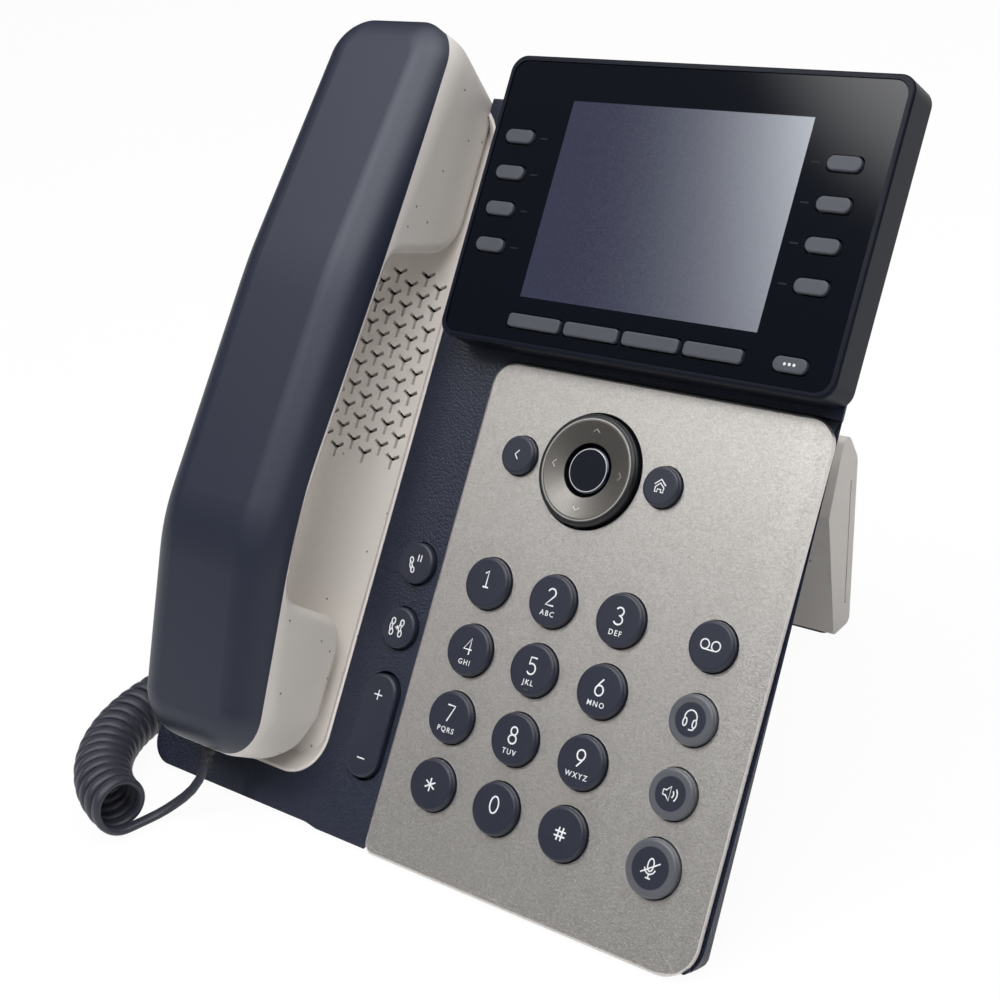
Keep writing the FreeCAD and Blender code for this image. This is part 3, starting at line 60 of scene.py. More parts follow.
# Places on the face
DIAL_COLUMNS = (9.1, 29.8, 50.5)
DIAL_ROWS = (76.19, 58.46, 40.73, 23.0)
FUNCTION_COLUMN = 76.7
SIDE_COLUMN = -16.0
ROCKER_Y = 31.9
NAV = (29.8, 110.0)
MENU_KEY_REACH = 22.1
PICTURE = (35.4, 175.7)
PICTURE_SIZE = (70.5, 52.6)
PANEL = (33.9, 176.2)
LINE_KEY_REACH = 47.7
LINE_KEY_PITCH = 9.87
LINE_KEY_RISE = 0.3
LENS_LEVEL = 9.7
LENS_SKIN = 0.7
PAGE_KEY = (81.6, 143.0)
BACK_LEVEL = -34.0
JACK_ROW = 52.0
NETWORK_JACKS = (14.0, 34.0)
HANDSET_JACK = -57.0
HEADSET_JACK = -40.0
SCREW_SPAN = (88.6, 98.76)
SCREW_MIDDLE = (19.3, 116.71)

# Rings of colour on the nav ring and the select key: inner and outer edge, each with its fade.
# NAV_FACE is the metal face; the other two rings are painted highlights, thin bright lines near the
# edge of the nav ring's face and of the select key.
NAV_FACE = ((6.95, 7.1), (13.15, 13.35))
NAV_EDGE_HIGHLIGHT = ((12.75, 12.85), (13.0, 13.1))
SELECT_EDGE_HIGHLIGHT = ((5.30, 5.38), (5.52, 5.60))

# Keys with a light guide round the rim: row of the key, and where the guide begins
LIT_KEYS = {"key_headset": (1, 4.1), "key_speaker": (2, 4.1), "key_mute": (3, 4.97)}
GUIDE_FADE = 0.12

# Cord: a flat jacket, wound with its width along the coil
CORD_WIDTH = 0.0036
CORD_THICKNESS = 0.0022
COIL_RADIUS = 0.0070
COIL_TURNS = 37.5
COIL_STEPS = 24
SPLINE_PULL = 0.67
COIL_AXIS = [
    (-0.10568, 0.03139, 0.00865), (-0.10568, -0.01242, 0.00865), (-0.10568, -0.05623, 0.00865),
    (-0.10568, -0.07541, 0.00865), (-0.09717, -0.09260, 0.00865), (-0.08192, -0.10424, 0.00865),
    (-0.07250, -0.10607, 0.00865)]
TAIL = [
    (-0.05920, -0.08268, 0.01879), (-0.05920, -0.08645, 0.01350), (-0.06150, -0.08987, 0.00820),
    (-0.06690, -0.09287, 0.00360), (-0.06983, -0.09695, 0.00165), (-0.07166, -0.10319, 0.00165)]
LEAD = [
    (-0.10269, 0.03167, 0.01565), (-0.09622, 0.03228, 0.01565), (-0.08910, 0.03153, 0.01240),
    (-0.08110, 0.03033, 0.00740), (-0.07250, 0.02693, 0.00340), (-0.06430, 0.02053, 0.00180),
    (-0.05950, 0.01153, 0.00230), (-0.05770, 0.00141, 0.00666), (-0.05770, -0.00388, 0.01043)]

# Section of the jacket: how square it is, what a groove leaves of its height, and the shares of
# its half width at peaks and grooves in turn
JACKET_SQUARE = 2.6
JACKET_GROOVE = 0.91
JACKET_SHARES = (-0.94, -0.76, -0.5, -0.25, 0.0, 0.25, 0.5, 0.76, 0.94)

# Ribbed sleeves at the ends of the cord; the boot lies between two distances behind the case
COLLAR = {"steps": 25, "start_radius": 0.0019, "end_radius": 0.0014, "ribs": 3.0, "rib": 0.00015}
BOOT = {"steps": 57, "start_radius": 0.0031, "end_radius": 0.0019, "ribs": 7.0, "rib": 0.0003}
BOOT_REACH = (8.2, 21.6)

# Small bars, in millimetres
TICK = (2.3, 0.42, 0.02)
TICK_INSET = (7.6, 7.8)
TICK_LIFT = 0.012
CONTACT = (0.42, 0.34, 8.4)
CONTACT_PITCH = 1.02
CONTACT_LEAN = math.radians(22)
CONTACT_DEPTH = 6.6
NETWORK_CONTACTS, NETWORK_RISE = 8, 1.9
HEADSET_CONTACTS, HEADSET_RISE = 4, 1.2
SLOT_ARM = 3.2
SLOT_WIDTH = 0.75
SLOT_DEPTH = 0.06
SCREW_HEAD = 2.02

# Print on the keys, in millimetres; the ink's and the nub's rise are shares of the pen's width,
# and the capitals' share and spacing are shares of a letter's size
PRINT_LIFT = 0.015
ABOVE_ALL = 60.0
INK_RISE = 0.12
NUMBER_SIZE = 0.84
NUMBER_PEN = 0.42
NUMBER_RISE = 0.95
SIGN_SIZE = 0.96
SIGN_PEN = 0.36
LETTER_HEIGHT = 1.38
LETTER_DROP = -3.3
CAPITAL_SHARE = 0.72
LETTER_SPACING = 1.30
LETTER_BOLD = 0.018
LETTER_RELIEF = 0.03
DOT_RADIUS = 0.18
DOT_PITCH = 1.25
NUB_REACH = 0.85
NUB_DROP = -5.15
NUB_WIDTH = 0.62
NUB_RISE = 0.8
CHEVRON = [[(-0.95, -0.42), (0, 0.42), (0.95, -0.42)]]
CHEVRON_REACH = 10.1
CHEVRON_PEN = 0.3

# Camera, fitted to the photograph
LENS = 63.81
SENSOR = 36.0
CAMERA_PLACE = (0.2794, -0.33182, 0.27739)
CAMERA_LOOK = (-0.6016, 0.6733, -0.4299)
CAMERA_RIGHT = (0.776, 0.6202, -0.1147)

# Stage: desk with far walls, sky with a soft glow, and lamps (place, aim, size, power)
DESK_REACH = 8.0
WALL_HEIGHT = 0.7
DESK_COLOUR = (0.86, 0.86, 0.86, 1.0)
WHITE_SHARE = 0.95
SKY_LOW = 0.03
SKY_HIGH = 0.55
SKY_SPAN = (0.30, 0.95)
GLOW = 15.5
GLOW_HEADING = (-0.378, -0.450, 0.809)
GLOW_EDGE = (4.5, 10.3)
SKIRT = 0.22
SKIRT_HEADING = (-0.545, -0.340, 0.766)
SKIRT_SPAN = (0.75, 0.99)
LAMPS = {
    "overhead": ((0.05, -0.05, 1.05), (0.05, -0.05, 0.0), 1.3, 6.5),
    "right_fill": ((0.44, -0.36, 1.20), (0.03, 0.0, 0.08), 1.2, 7.5),
}


def on_face(x, y, z):
    """A place that is given in millimetres on the face."""
    return FACE @ Vector((x, y, z))


# ---------------------------------------------------------------- trees of nodes

class Reading:
    """A value in a tree of nodes; sums on it add Math nodes."""

    def __init__(self, owner, socket):
        self.owner = owner
        self.socket = socket

    def sum(self, operation, *values):
        """One Math node on these values."""
        return self.owner.node("ShaderNodeMath", {"operation": operation}, dict(enumerate(values)))

    def __add__(self, other):
        return self.sum("ADD", self, other)

    def __sub__(self, other):
        return self.sum("SUBTRACT", self, other)

    def __rsub__(self, other):
        return self.sum("SUBTRACT", other, self)

    def __mul__(self, other):
        return self.sum("MULTIPLY", self, other)

    def __truediv__(self, other):
        return self.sum("DIVIDE", self, other)

    def __pow__(self, other):
        return self.sum("POWER", self, other)

    def __abs__(self):
        return self.sum("ABSOLUTE", self)

    def __lt__(self, other):
        return self.sum("LESS_THAN", self, other)

    def __gt__(self, other):
        return self.sum("GREATER_THAN", self, other)

    def wave(self):
        """Sine of the value."""
        return self.sum("SINE", self)

    def ramp(self, low, high):
        """0 below low, 1 above high, smooth between."""
        return self.owner.node("ShaderNodeMapRange", {"interpolation_type": "SMOOTHSTEP"},
                               {"Value": self, "From Min": low, "From Max": high})

    def band(self, inner, outer):
        """1 between two edges and 0 outside them; each edge is the ends of its ramp."""
        return self.ramp(*inner) * (1 - self.ramp(*outer))


class Tree:
    """A tree of nodes, which are added one at a time."""

    def __init__(self, tree):
        self.tree = tree

    def node(self, kind, settings=None, sockets=None, output=0):
        """Adds a node, links or sets its sockets, and reads one output."""
        made = self.tree.nodes.new(kind)
        for name, value in (settings or {}).items():
            setattr(made, name, value)
        for name, value in (sockets or {}).items():
            if isinstance(value, Reading):
                self.tree.links.new(value.socket, made.inputs[name])
            else:
                made.inputs[name].default_value = value
        return Reading(self, made.outputs[output])

    def end(self, kind, reading):
        """Links a reading to the tree's last node."""
        self.tree.links.new(reading.socket, self.tree.nodes.new(kind).inputs[0])


class Rule(Tree):
    """Geometry that follows a rule with named sizes."""

    def __init__(self, name, **sizes):
        super().__init__(bpy.data.node_groups.new(name, "GeometryNodeTree"))
        sockets = self.tree.interface
        sockets.new_socket("Line", in_out="INPUT", socket_type="NodeSocketGeometry")
        sockets.new_socket("Piece", in_out="OUTPUT", socket_type="NodeSocketGeometry")
        self.keys = {}
        for size, kind in sizes.items():
            made = sockets.new_socket(size, in_out="INPUT", socket_type="NodeSocket" + kind)
            self.keys[size] = made.identifier
        self.given = self.tree.nodes.new("NodeGroupInput")

    def size(self, name):
        """Reads one of the rule's sizes, or its line."""
        return Reading(self, self.given.outputs[name])

    def across(self, x=0.0, y=0.0, z=0.0):
        """Vector of three values."""
        return self.node("ShaderNodeCombineXYZ", {}, {0: x, 1: y, 2: z})

    def close(self, geometry, finish):
        """Makes the geometry real, gives it its finish and ends the rule."""
        whole = self.node("GeometryNodeRealizeInstances", {}, {"Geometry": geometry})
        dressed = self.node("GeometryNodeSetMaterial", {}, {"Geometry": whole, "Material": finish})
        self.end("NodeGroupOutput", dressed)

    def made(self, line=None, **sizes):
        """Plain mesh of the rule at these sizes."""
        holder = bpy.data.objects.new(self.tree.name, line or bpy.data.meshes.new("start"))
        bpy.context.scene.collection.objects.link(holder)
        maker = holder.modifiers.new(self.tree.name, "NODES")
        maker.node_group = self.tree
        for size, value in sizes.items():
            maker[self.keys[size]] = value
        bpy.context.view_layer.update()
        seen = holder.evaluated_get(bpy.context.evaluated_depsgraph_get())
        mesh = bpy.data.meshes.new_from_object(seen)
        holder.modifiers.remove(maker)
        bpy.data.objects.remove(holder)
        return mesh


# ---------------------------------------------------------------- finishes

class Finish(Tree):
    """A material made of nodes round one Principled shader."""

    def __init__(self, name, **steady):
        self.material = bpy.data.materials.new(name)
        self.material.use_nodes = True
        super().__init__(self.material.node_tree)
        self.tree.nodes.clear()
        self.shader = self.tree.nodes.new("ShaderNodeBsdfPrincipled")
        self.end("ShaderNodeOutputMaterial", Reading(self, self.shader.outputs[0]))
        for socket, value in steady.items():
            self.shader.inputs[socket.replace("_", " ")].default_value = value
        self.place = self.node("ShaderNodeTexCoord", output="Object")

    def feed(self, **values):
        """Links values that vary to the shader, and gives the material."""
        for socket, value in values.items():
            self.tree.links.new(value.socket, self.shader.inputs[socket.replace("_", " ")])
        return self.material

    def mix(self, share, low, high):
        """Colour between two colours."""
        low, high = (c if isinstance(c, Reading) else tuple(c) + (1.0,) for c in (low, high))
        return self.node("ShaderNodeMix", {"data_type": "RGBA"}, {0: share, 6: low, 7: high}, 2)

    def noise(self, scale, detail=2.0, roughness=0.5):
        """Noise with about this many waves in a metre."""
        return self.node("ShaderNodeTexNoise", {}, {"Vector": self.place, "Scale": scale,
                                                    "Detail": detail, "Roughness": roughness})

    def cells(self, scale):
        """Distance to the nearest of scattered points, and a number of its own for each."""
        sockets = {"Vector": self.place, "Scale": scale}
        near = self.node("ShaderNodeTexVoronoi", {}, sockets, "Distance")
        own = self.node("ShaderNodeTexVoronoi", {}, sockets, "Color")
        return near, self.node("ShaderNodeSeparateColor", {}, {0: own}, 0)

    def face_axes(self):
        """Millimetres across the face, up it and out of it."""
        turn = OFF_FACE.to_quaternion().to_euler()
        on = self.node("ShaderNodeMapping", {},
                       {"Vector": self.place, "Location": OFF_FACE.translation, "Rotation": turn,
                        "Scale": (1000.0, 1000.0, 1000.0)})
        return [self.node("ShaderNodeSeparateXYZ", {}, {0: on}, axis) for axis in range(3)]

    def reach(self, centre):
        """Millimetres from a place on the face."""
        x, y, _ = self.face_axes()
        return ((x - centre[0]) ** 2 + (y - centre[1]) ** 2) ** 0.5

    def bump(self, height, depth):
        """Normal of a relief that is depth metres deep."""
        return self.node("ShaderNodeBump", {}, {"Height": height, "Distance": depth})


ROUGH_SPREAD = 0.08


def moulded(name, dark, light, rough, grain_size, grain_depth, **steady):
    """Plain moulded plastic with a fine grain."""
    made = Finish(name, **steady)
    grain = made.noise(1.0 / grain_size, 3.0, 0.6)
    cloud = made.noise(38.0)
    return made.feed(Base_Color=made.mix(cloud * 0.6 + grain * 0.4, dark, light),
                     Roughness=grain * ROUGH_SPREAD + (rough - ROUGH_SPREAD / 2),
                     Normal=made.bump(grain, grain_depth))


def textured_case():
    """Dark case with the leathery grain of its mould."""
    made = Finish("textured_case")
    near, own = made.cells(1500.0)
    fine = made.noise(2600.0)
    relief = (1 - near) * 0.75 + fine * 0.25
    shade = made.noise(30.0) * 0.5 + own * 0.5
    return made.feed(Base_Color=made.mix(shade, (0.0085, 0.0120, 0.0270), (0.0160, 0.0210, 0.0430)),
                     Roughness=own * 0.12 + 0.38, Normal=made.bump(relief, 0.00013))


def speckled_plastic(name, dark, light):
    """Warm grey recycled plastic with a few dark specks."""
    made = Finish(name)
    near, own = made.cells(230.0)
    fleck_near, fleck_own = made.cells(700.0)
    speck = (near < 0.080) * (own > 0.60)
    fleck = (fleck_near < 0.10) * (fleck_own > 0.90)
    cloud = made.noise(24.0, 3.0)
    grain = made.noise(3200.0)
    plain = made.mix(cloud, dark, light)
    flecked = made.mix(fleck * 0.35, plain, (0.24, 0.22, 0.20))
    return made.feed(Base_Color=made.mix(speck * 0.8, flecked, (0.08, 0.075, 0.07)),
                     Roughness=grain * 0.10 + 0.46, Normal=made.bump(grain, 0.000015))


def champagne_paint():
    """Metallic paint: a fine bright flake in a warm grey coat."""
    made = Finish("champagne_paint")
    _, flake = made.cells(3600.0)
    _, coarse = made.cells(1500.0)
    drift = made.noise(16.0)
    sparkle = flake * 0.6 + coarse * 0.25 + drift * 0.15
    return made.feed(Base_Color=made.mix(sparkle, (0.530, 0.506, 0.481), (0.750, 0.722, 0.694)),
                     Metallic=flake * 0.14 + 0.84, Roughness=flake * 0.10 + 0.31,
                     Normal=made.bump(flake, 0.000014))


def screen_glass():
    """Black lens, clear over the picture of the display, which is off; over the picture a painted
    reflection, lighter towards the right and the top.
    """
    made = Finish("screen_glass", IOR=1.26)
    x, y, z = made.face_axes()
    wide, high = PICTURE_SIZE
    inside = ((abs(x - PICTURE[0]) < wide / 2) * (abs(y - PICTURE[1]) < high / 2)
              * (z > LENS_LEVEL - LENS_SKIN))
    across = (x - (PICTURE[0] - wide / 2)) / wide
    upward = (y - (PICTURE[1] - high / 2)) / high
    _, grain = made.cells(2600.0)
    # painted reflection on the dark screen: lighter towards the right and the top
    sheen = across ** 2.7 * (upward * 0.50 + 0.48 + made.noise(20.0) * 0.06)
    screen_with_painted_reflection = made.mix(sheen + (grain - 0.5) * 0.04, (0.030, 0.033, 0.060), (0.350, 0.370, 0.410))
    dust = made.noise(900.0)
    return made.feed(Base_Color=made.mix(inside, (0.0008, 0.0018, 0.0058), screen_with_painted_reflection),
                     Roughness=inside * 0.12 + dust * 0.03 + 0.05)


def dial_plastic(name, ring_centre=None, ring_reach=0.0):
    """Dark key cap; some have a grey light guide round the rim."""
    made = Finish(name)
    grain = made.noise(2400.0)
    cloud = made.noise(120.0)
    cap = made.mix(cloud, (0.0130, 0.0155, 0.0290), (0.0205, 0.0235, 0.0420))
    rough = grain * 0.10 + 0.36
    if ring_centre:
        ring = made.reach(ring_centre).ramp(ring_reach - GUIDE_FADE, ring_reach + GUIDE_FADE)
        cap = made.mix(ring, cap, made.mix(cloud, (0.075, 0.080, 0.094), (0.110, 0.115, 0.130)))
        rough = rough - ring * 0.10
    return made.feed(Base_Color=cap, Roughness=rough, Normal=made.bump(grain, 0.000012))


def turned_metal():
    """Nav ring: black rim, dished face turned in a lathe, and a painted highlight: a thin bright
    line near the face's outer edge.
    """
    made = Finish("turned_metal")
    reach = made.reach(NAV)
    face = reach.band(*NAV_FACE)
    # the rim mask and the bright colour: a painted highlight, a thin bright line near the outer
    # edge of the metal face
    rim = reach.band(*NAV_EDGE_HIGHLIGHT)
    rings = made.node("ShaderNodeTexNoise", {"noise_dimensions": "1D"},
                      {"W": reach, "Scale": 14.0, "Detail": 3.0})
    grain = made.noise(1800.0)
    metal = made.mix(rings * 0.7 + grain * 0.3, (0.100, 0.095, 0.088), (0.240, 0.228, 0.213))
    bright = made.mix(rim * 0.6, metal, (0.80, 0.79, 0.77))
    return made.feed(Base_Color=made.mix(face, (0.004, 0.005, 0.008), bright),
                     Metallic=face * 0.85, Roughness=rings * 0.12 + 0.30 + (1 - face) * 0.05,
                     Normal=made.bump(rings * face, 0.00001))


def gloss_black():
    """Polished select key with a painted highlight: a fine bright line round its edge."""
    made = Finish("gloss_black", Coat_Roughness=0.03)
    reach = made.reach(NAV)
    # painted highlight of the polished edge: a fine bright line
    line = reach.band(*SELECT_EDGE_HIGHLIGHT)
    haze = made.noise(400.0)
    return made.feed(Base_Color=made.mix(line, (0.0015, 0.0030, 0.0100), (0.50, 0.52, 0.56)),
                     Roughness=haze * 0.05 + 0.07, Coat_Weight=haze * 0.2 + 0.1)


def brushed_steel(name, tone, rough):
    """Bare metal of one tone with a fine grain."""
    made = Finish(name)
    grain = made.noise(900.0, 3.0)
    low, high = [tuple(part * share for part in tone) for share in (0.75, 1.1)]
    return made.feed(Base_Color=made.mix(grain, low, high), Metallic=grain * 0.1 + 0.85,
                     Roughness=grain * 0.2 + rough, Normal=made.bump(grain, 0.00001))


def circuit_board():
    """Green board with the faint pattern of its tracks."""
    made = Finish("circuit_board")
    near, own = made.cells(160.0)
    tracks = near.ramp(0.30, 0.36)
    return made.feed(Base_Color=made.mix(tracks, (0.006, 0.075, 0.030), (0.012, 0.120, 0.050)),
                     Roughness=own * 0.2 + 0.35, Normal=made.bump(tracks, 0.00003))


def dormant_panel():
    """Panel of the display, which is off."""
    made = Finish("dormant_panel")
    grain = made.noise(1500.0, 1.0)
    return made.feed(Base_Color=made.mix(grain, (0.030, 0.033, 0.045), (0.060, 0.065, 0.080)),
                     Roughness=grain * 0.1 + 0.3)


def printed_white():
    """White ink of the legends."""
    made = Finish("printed_white")
    grain = made.noise(1600.0)
    return made.feed(Base_Color=made.mix(grain, (0.66, 0.67, 0.70), (0.82, 0.83, 0.85)),
                     Roughness=grain * 0.1 + 0.45)


def cord_jacket():
    """Soft dark jacket of the cord."""
    made = Finish("cord_jacket")
    grain = made.noise(1500.0, 3.0)
    cloud = made.noise(90.0)
    return made.feed(Base_Color=made.mix(cloud, (0.018, 0.019, 0.031), (0.035, 0.038, 0.055)),
                     Roughness=grain * 0.14 + 0.38, Normal=made.bump(grain, 0.00002))


FINISH = {
    "shell": moulded("dark_shell", (0.0030, 0.0058, 0.0200), (0.0050, 0.0088, 0.0260),
                     0.48, 0.0005, 0.000012,
                     Specular_IOR_Level=0.75, Specular_Tint=(0.90, 0.93, 1.0, 1.0)),
    "case": textured_case(),
    "warm": speckled_plastic("speckled_plastic", (0.620, 0.585, 0.552), (0.685, 0.650, 0.617)),
    # the cradle's finish: the same speckled plastic made lighter, painted light for the light that
    # falls on the cradle
    "painted_light_warm": speckled_plastic("speckled_cradle", (0.765, 0.722, 0.680), (0.815, 0.773, 0.733)),
    "paint": champagne_paint(),
    "bezel": moulded("bezel_black", (0.0035, 0.0050, 0.0110), (0.0065, 0.0085, 0.0170),
                     0.36, 0.0006, 0.00001, Specular_IOR_Level=0.12),
    "glass": screen_glass(),
    "key": dial_plastic("key_plastic"),
    "screen_key": moulded("screen_key_grey", (0.037, 0.042, 0.056), (0.058, 0.064, 0.082),
                          0.50, 0.0004, 0.00001),
    "nav": turned_metal(),
    "select": gloss_black(),
    "inner": moulded("inner_plastic", (0.11, 0.11, 0.11), (0.16, 0.16, 0.16), 0.5, 0.0006, 0.00001),
    "mat": moulded("mat_rubber", (0.10, 0.10, 0.105), (0.15, 0.15, 0.155), 0.7, 0.0008, 0.00003),
    "foot": moulded("foot_rubber", (0.012, 0.012, 0.013), (0.022, 0.022, 0.024),
                    0.75, 0.0005, 0.00004),
    "board": circuit_board(),
    "jack": moulded("jack_black", (0.010, 0.010, 0.012), (0.018, 0.018, 0.020),
                    0.4, 0.0006, 0.00001),
    "driver": moulded("driver_cone", (0.012, 0.012, 0.013), (0.030, 0.030, 0.032),
                      0.6, 0.0009, 0.00004),
    "capsule": moulded("capsule_plastic", (0.03, 0.03, 0.03), (0.06, 0.06, 0.06),
                       0.5, 0.0006, 0.00001),
    "steel": brushed_steel("screw_steel", (0.42, 0.42, 0.43), 0.28),
    "gold": brushed_steel("contact_gold", (0.80, 0.58, 0.24), 0.22),
    "lcd": dormant_panel(),
    "white": printed_white(),
    "faint": moulded("faint_print", (0.0035, 0.0045, 0.0080), (0.0055, 0.0065, 0.0110),
                     0.5, 0.0006, 0.000004, Specular_IOR_Level=0.2),
    "mark": brushed_steel("pressed_mark", (0.55, 0.53, 0.50), 0.30),
    "shade": moulded("slot_shade", (0.006, 0.006, 0.006), (0.012, 0.012, 0.012),
                     0.6, 0.0006, 0.00001),
    "sleeve": moulded("sleeve_rubber", (0.010, 0.011, 0.014), (0.018, 0.019, 0.023),
                      0.5, 0.0006, 0.00002),
    "cord": cord_jacket(),
    "plug": moulded("plug_plastic", (0.012, 0.013, 0.016), (0.024, 0.026, 0.031),
                    0.3, 0.0006, 0.00001),
}

NODE_FINISH = {
    "handset_back_shell": "shell", "handset_front_shell": "warm", "handset_capsules": "capsule",
    "front_case": "case", "rear_case": "case", "faceplate": "paint", "display_bezel": "bezel",
    "display_lens": "glass", "lcd_module": "lcd", "cradle": "painted_light_warm", "main_board": "board",
    "keypad_mat": "mat", "loudspeaker": "driver", "rear_jacks": "jack", "case_screws": "steel",
    "base_feet": "foot", "stand": "warm", "stand_feet": "foot", "cord_plug": "plug",
    "hook_switch": "inner", "nav_gimbal": "inner", "nav_ring": "nav", "key_select": "select",
}


def finish_nodes():
    """Gives every CAD node its finish; keys that aren't named above are dark caps."""
    for name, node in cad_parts.items():
        if name in NODE_FINISH:
            finish = FINISH[NODE_FINISH[name]]
        elif name.startswith(("line_key", "soft_key")) or name == "key_page":
            finish = FINISH["screen_key"]
        elif name in LIT_KEYS:
            row, reach = LIT_KEYS[name]
            finish = dial_plastic("lit_" + name, (FUNCTION_COLUMN, DIAL_ROWS[row]), reach)
        else:
            finish = FINISH["key"]
        node.data.materials.clear()
        node.data.materials.append(finish)


# ---------------------------------------------------------------- making pieces

def piece(name, mesh, finish, body=None):
    """Puts a mesh in the scene as a piece of the phone."""
    made = bpy.data.objects.new(name, mesh)
    bpy.context.scene.collection.objects.link(made)
    mesh.materials.clear()
    mesh.materials.append(finish)
    if body:
        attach(made, body)
    return made


def solid_of(data, name):
    """Plain mesh of a curve or of text."""
    holder = bpy.data.objects.new(name, data)
    bpy.context.scene.collection.objects.link(holder)
    bpy.context.view_layer.update()
    seen = holder.evaluated_get(bpy.context.evaluated_depsgraph_get())
    mesh = bpy.data.meshes.new_from_object(seen)
    bpy.data.objects.remove(holder)
    return mesh


def smooth_line(name, points, fineness=6):
    """Curve of one spline, with the points as its control points."""
    line = bpy.data.curves.new(name, "CURVE")
    line.dimensions = "3D"
    line.resolution_u = fineness
    spline = line.splines.new("NURBS")
    spline.points.add(len(points) - 1)
    for spot, point in zip(spline.points, points):
        spot.co = (*point, 1.0)
    spline.order_u = 3
    spline.use_endpoint_u = True
    return line


def spline_points(name, points, fineness=6):
    """Points along the smooth line that a route's points give."""
    mesh = solid_of(smooth_line(name, points, fineness), name)
    return [vertex.co.copy() for vertex in mesh.vertices]


def smooth_faces(mesh):
    """Shades all faces smooth."""
    for face in mesh.polygons:
        face.use_smooth = True
    return mesh


# ---------------------------------------------------------------- cord

def coil_turns():
    """Points of the cord round the coil's axis, from front to back, and the heading at each.

    The spline passes inside its points, so these lie a little outside the coil's radius.
    """
    axis = spline_points("route", COIL_AXIS[::-1])
    lengths = [0.0]
    for here, there in zip(axis, axis[1:]):
        lengths.append(lengths[-1] + (there - here).length)
    steps = int(COIL_TURNS * COIL_STEPS)
    radius = COIL_RADIUS / math.cos(math.pi / COIL_STEPS) ** SPLINE_PULL
    up = Vector((0, 0, 1))
    turns, headings, span = [], [], 0
    for step in range(steps + 1):
        distance = lengths[-1] * step / steps
        while span < len(axis) - 2 and lengths[span + 1] < distance:
            span += 1
        share = (distance - lengths[span]) / (lengths[span + 1] - lengths[span])
        heading = (axis[span] - axis[span + 1]).normalized()
        turn = math.pi - math.tau * step / COIL_STEPS
        outward = up * math.cos(turn) + heading.cross(up) * math.sin(turn)
        turns.append(axis[span].lerp(axis[span + 1], share) + outward * radius)
        headings.append(heading)
    return turns, headings


def jacket_section():
    """Outline of the flat jacket, with the grooves between its four conductors."""
    top = []
    for step, share in enumerate(JACKET_SHARES):
        rise = (1 - abs(share) ** JACKET_SQUARE) ** 0.5
        top.append((share, rise * (JACKET_GROOVE if step % 2 else 1.0)))
    under = [(share, -rise) for share, rise in reversed(top)]
    outline = [(-1.0, 0.0)] + top + [(1.0, 0.0)] + under
    return [(across * CORD_WIDTH / 2, rise * CORD_THICKNESS / 2) for across, rise in outline]


def jacket(path, lies):
    """Mesh of the flat jacket along a path; at each point its width lies near a direction."""
    section = jacket_section()
    corners = []
    for step, point in enumerate(path):
        along = (path[min(step + 1, len(path) - 1)] - path[max(step - 1, 0)]).normalized()
        wide = (lies[step] - along * lies[step].dot(along)).normalized()
        thick = along.cross(wide)
        corners += [point + wide * across + thick * rise for across, rise in section]
    count = len(section)
    faces = [[ring * count + side, ring * count + (side + 1) % count,
              (ring + 1) * count + (side + 1) % count, (ring + 1) * count + side]
             for ring in range(len(path) - 1) for side in range(count)]
    faces += [list(range(count))[::-1], list(range(len(corners) - count, len(corners)))]
    mesh = bpy.data.meshes.new("jacket")
    mesh.from_pydata(corners, [], [face[::-1] for face in faces])
    return smooth_faces(mesh)


def carried(lies, path, steps):
    """Carries a direction along part of a path without twist."""
    last = lies[steps[0]]
    for here, there in zip(steps, steps[1:]):
        along = (path[there] - path[here]).normalized()
        last = (last - along * last.dot(along)).normalized()
        lies[there] = last


def cord_path():
    """Points along the whole cord, and the direction in which the jacket's width lies at each."""
    turns, headings = coil_turns()
    route = [Vector(point) for point in TAIL] + turns + [Vector(point) for point in LEAD]
    path = spline_points("curly_cord_line", route, 2)
    per_point = (len(path) - 1) / (len(route) - 1)
    first = int((len(TAIL) + 2) * per_point)
    last = int((len(TAIL) + len(turns) - 3) * per_point)
    lies = [headings[min(max(round(step / per_point) - len(TAIL), 0), len(headings) - 1)]
            for step in range(len(path))]
    carried(lies, path, list(range(first, -1, -1)))
    carried(lies, path, list(range(last, len(path))))
    return path, lies


def make_cord():
    """Curly cord from the handset to the plug behind the phone, and the sleeves at its ends."""
    path, lies = cord_path()
    sleeve = ribbed_sleeve(FINISH["sleeve"])
    start, below = Vector(TAIL[0]), Vector(TAIL[1])
    line = smooth_line("collar_line", [start, start.lerp(below, 0.5), path[1]])
    piece("cord_collar", sleeve.made(line, **COLLAR), FINISH["sleeve"], "handset")
    wide, narrow = [on_face(HANDSET_JACK, JACK_ROW, BACK_LEVEL - reach) for reach in BOOT_REACH]
    line = smooth_line("boot_line", [wide, wide.lerp(narrow, 0.5), narrow])
    boot = piece("plug_boot", sleeve.made(line, **BOOT), FINISH["sleeve"], "base")
    cord = piece("curly_cord", jacket(path, lies), FINISH["cord"])
    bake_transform(cord)
    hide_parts("cord_tail", "cord_coil", "cord_lead")


# ---------------------------------------------------------------- rows and ribs

def row_of_bars(finish):
    """Bars a step apart; each leans about its own middle."""
    rule = Rule("row_of_bars", count="Int", step="Vector", bar="Vector", lean="Float")
    line = rule.node("GeometryNodeMeshLine", {},
                     {"Count": rule.size("count"), "Offset": rule.size("step")})
    bar = rule.node("GeometryNodeMeshCube", {}, {"Size": rule.size("bar")})
    turn = rule.node("FunctionNodeEulerToRotation", {}, {0: rule.across(x=rule.size("lean"))})
    rule.close(rule.node("GeometryNodeInstanceOnPoints", {},
                         {"Points": line, "Instance": bar, "Rotation": turn}), finish)
    return rule


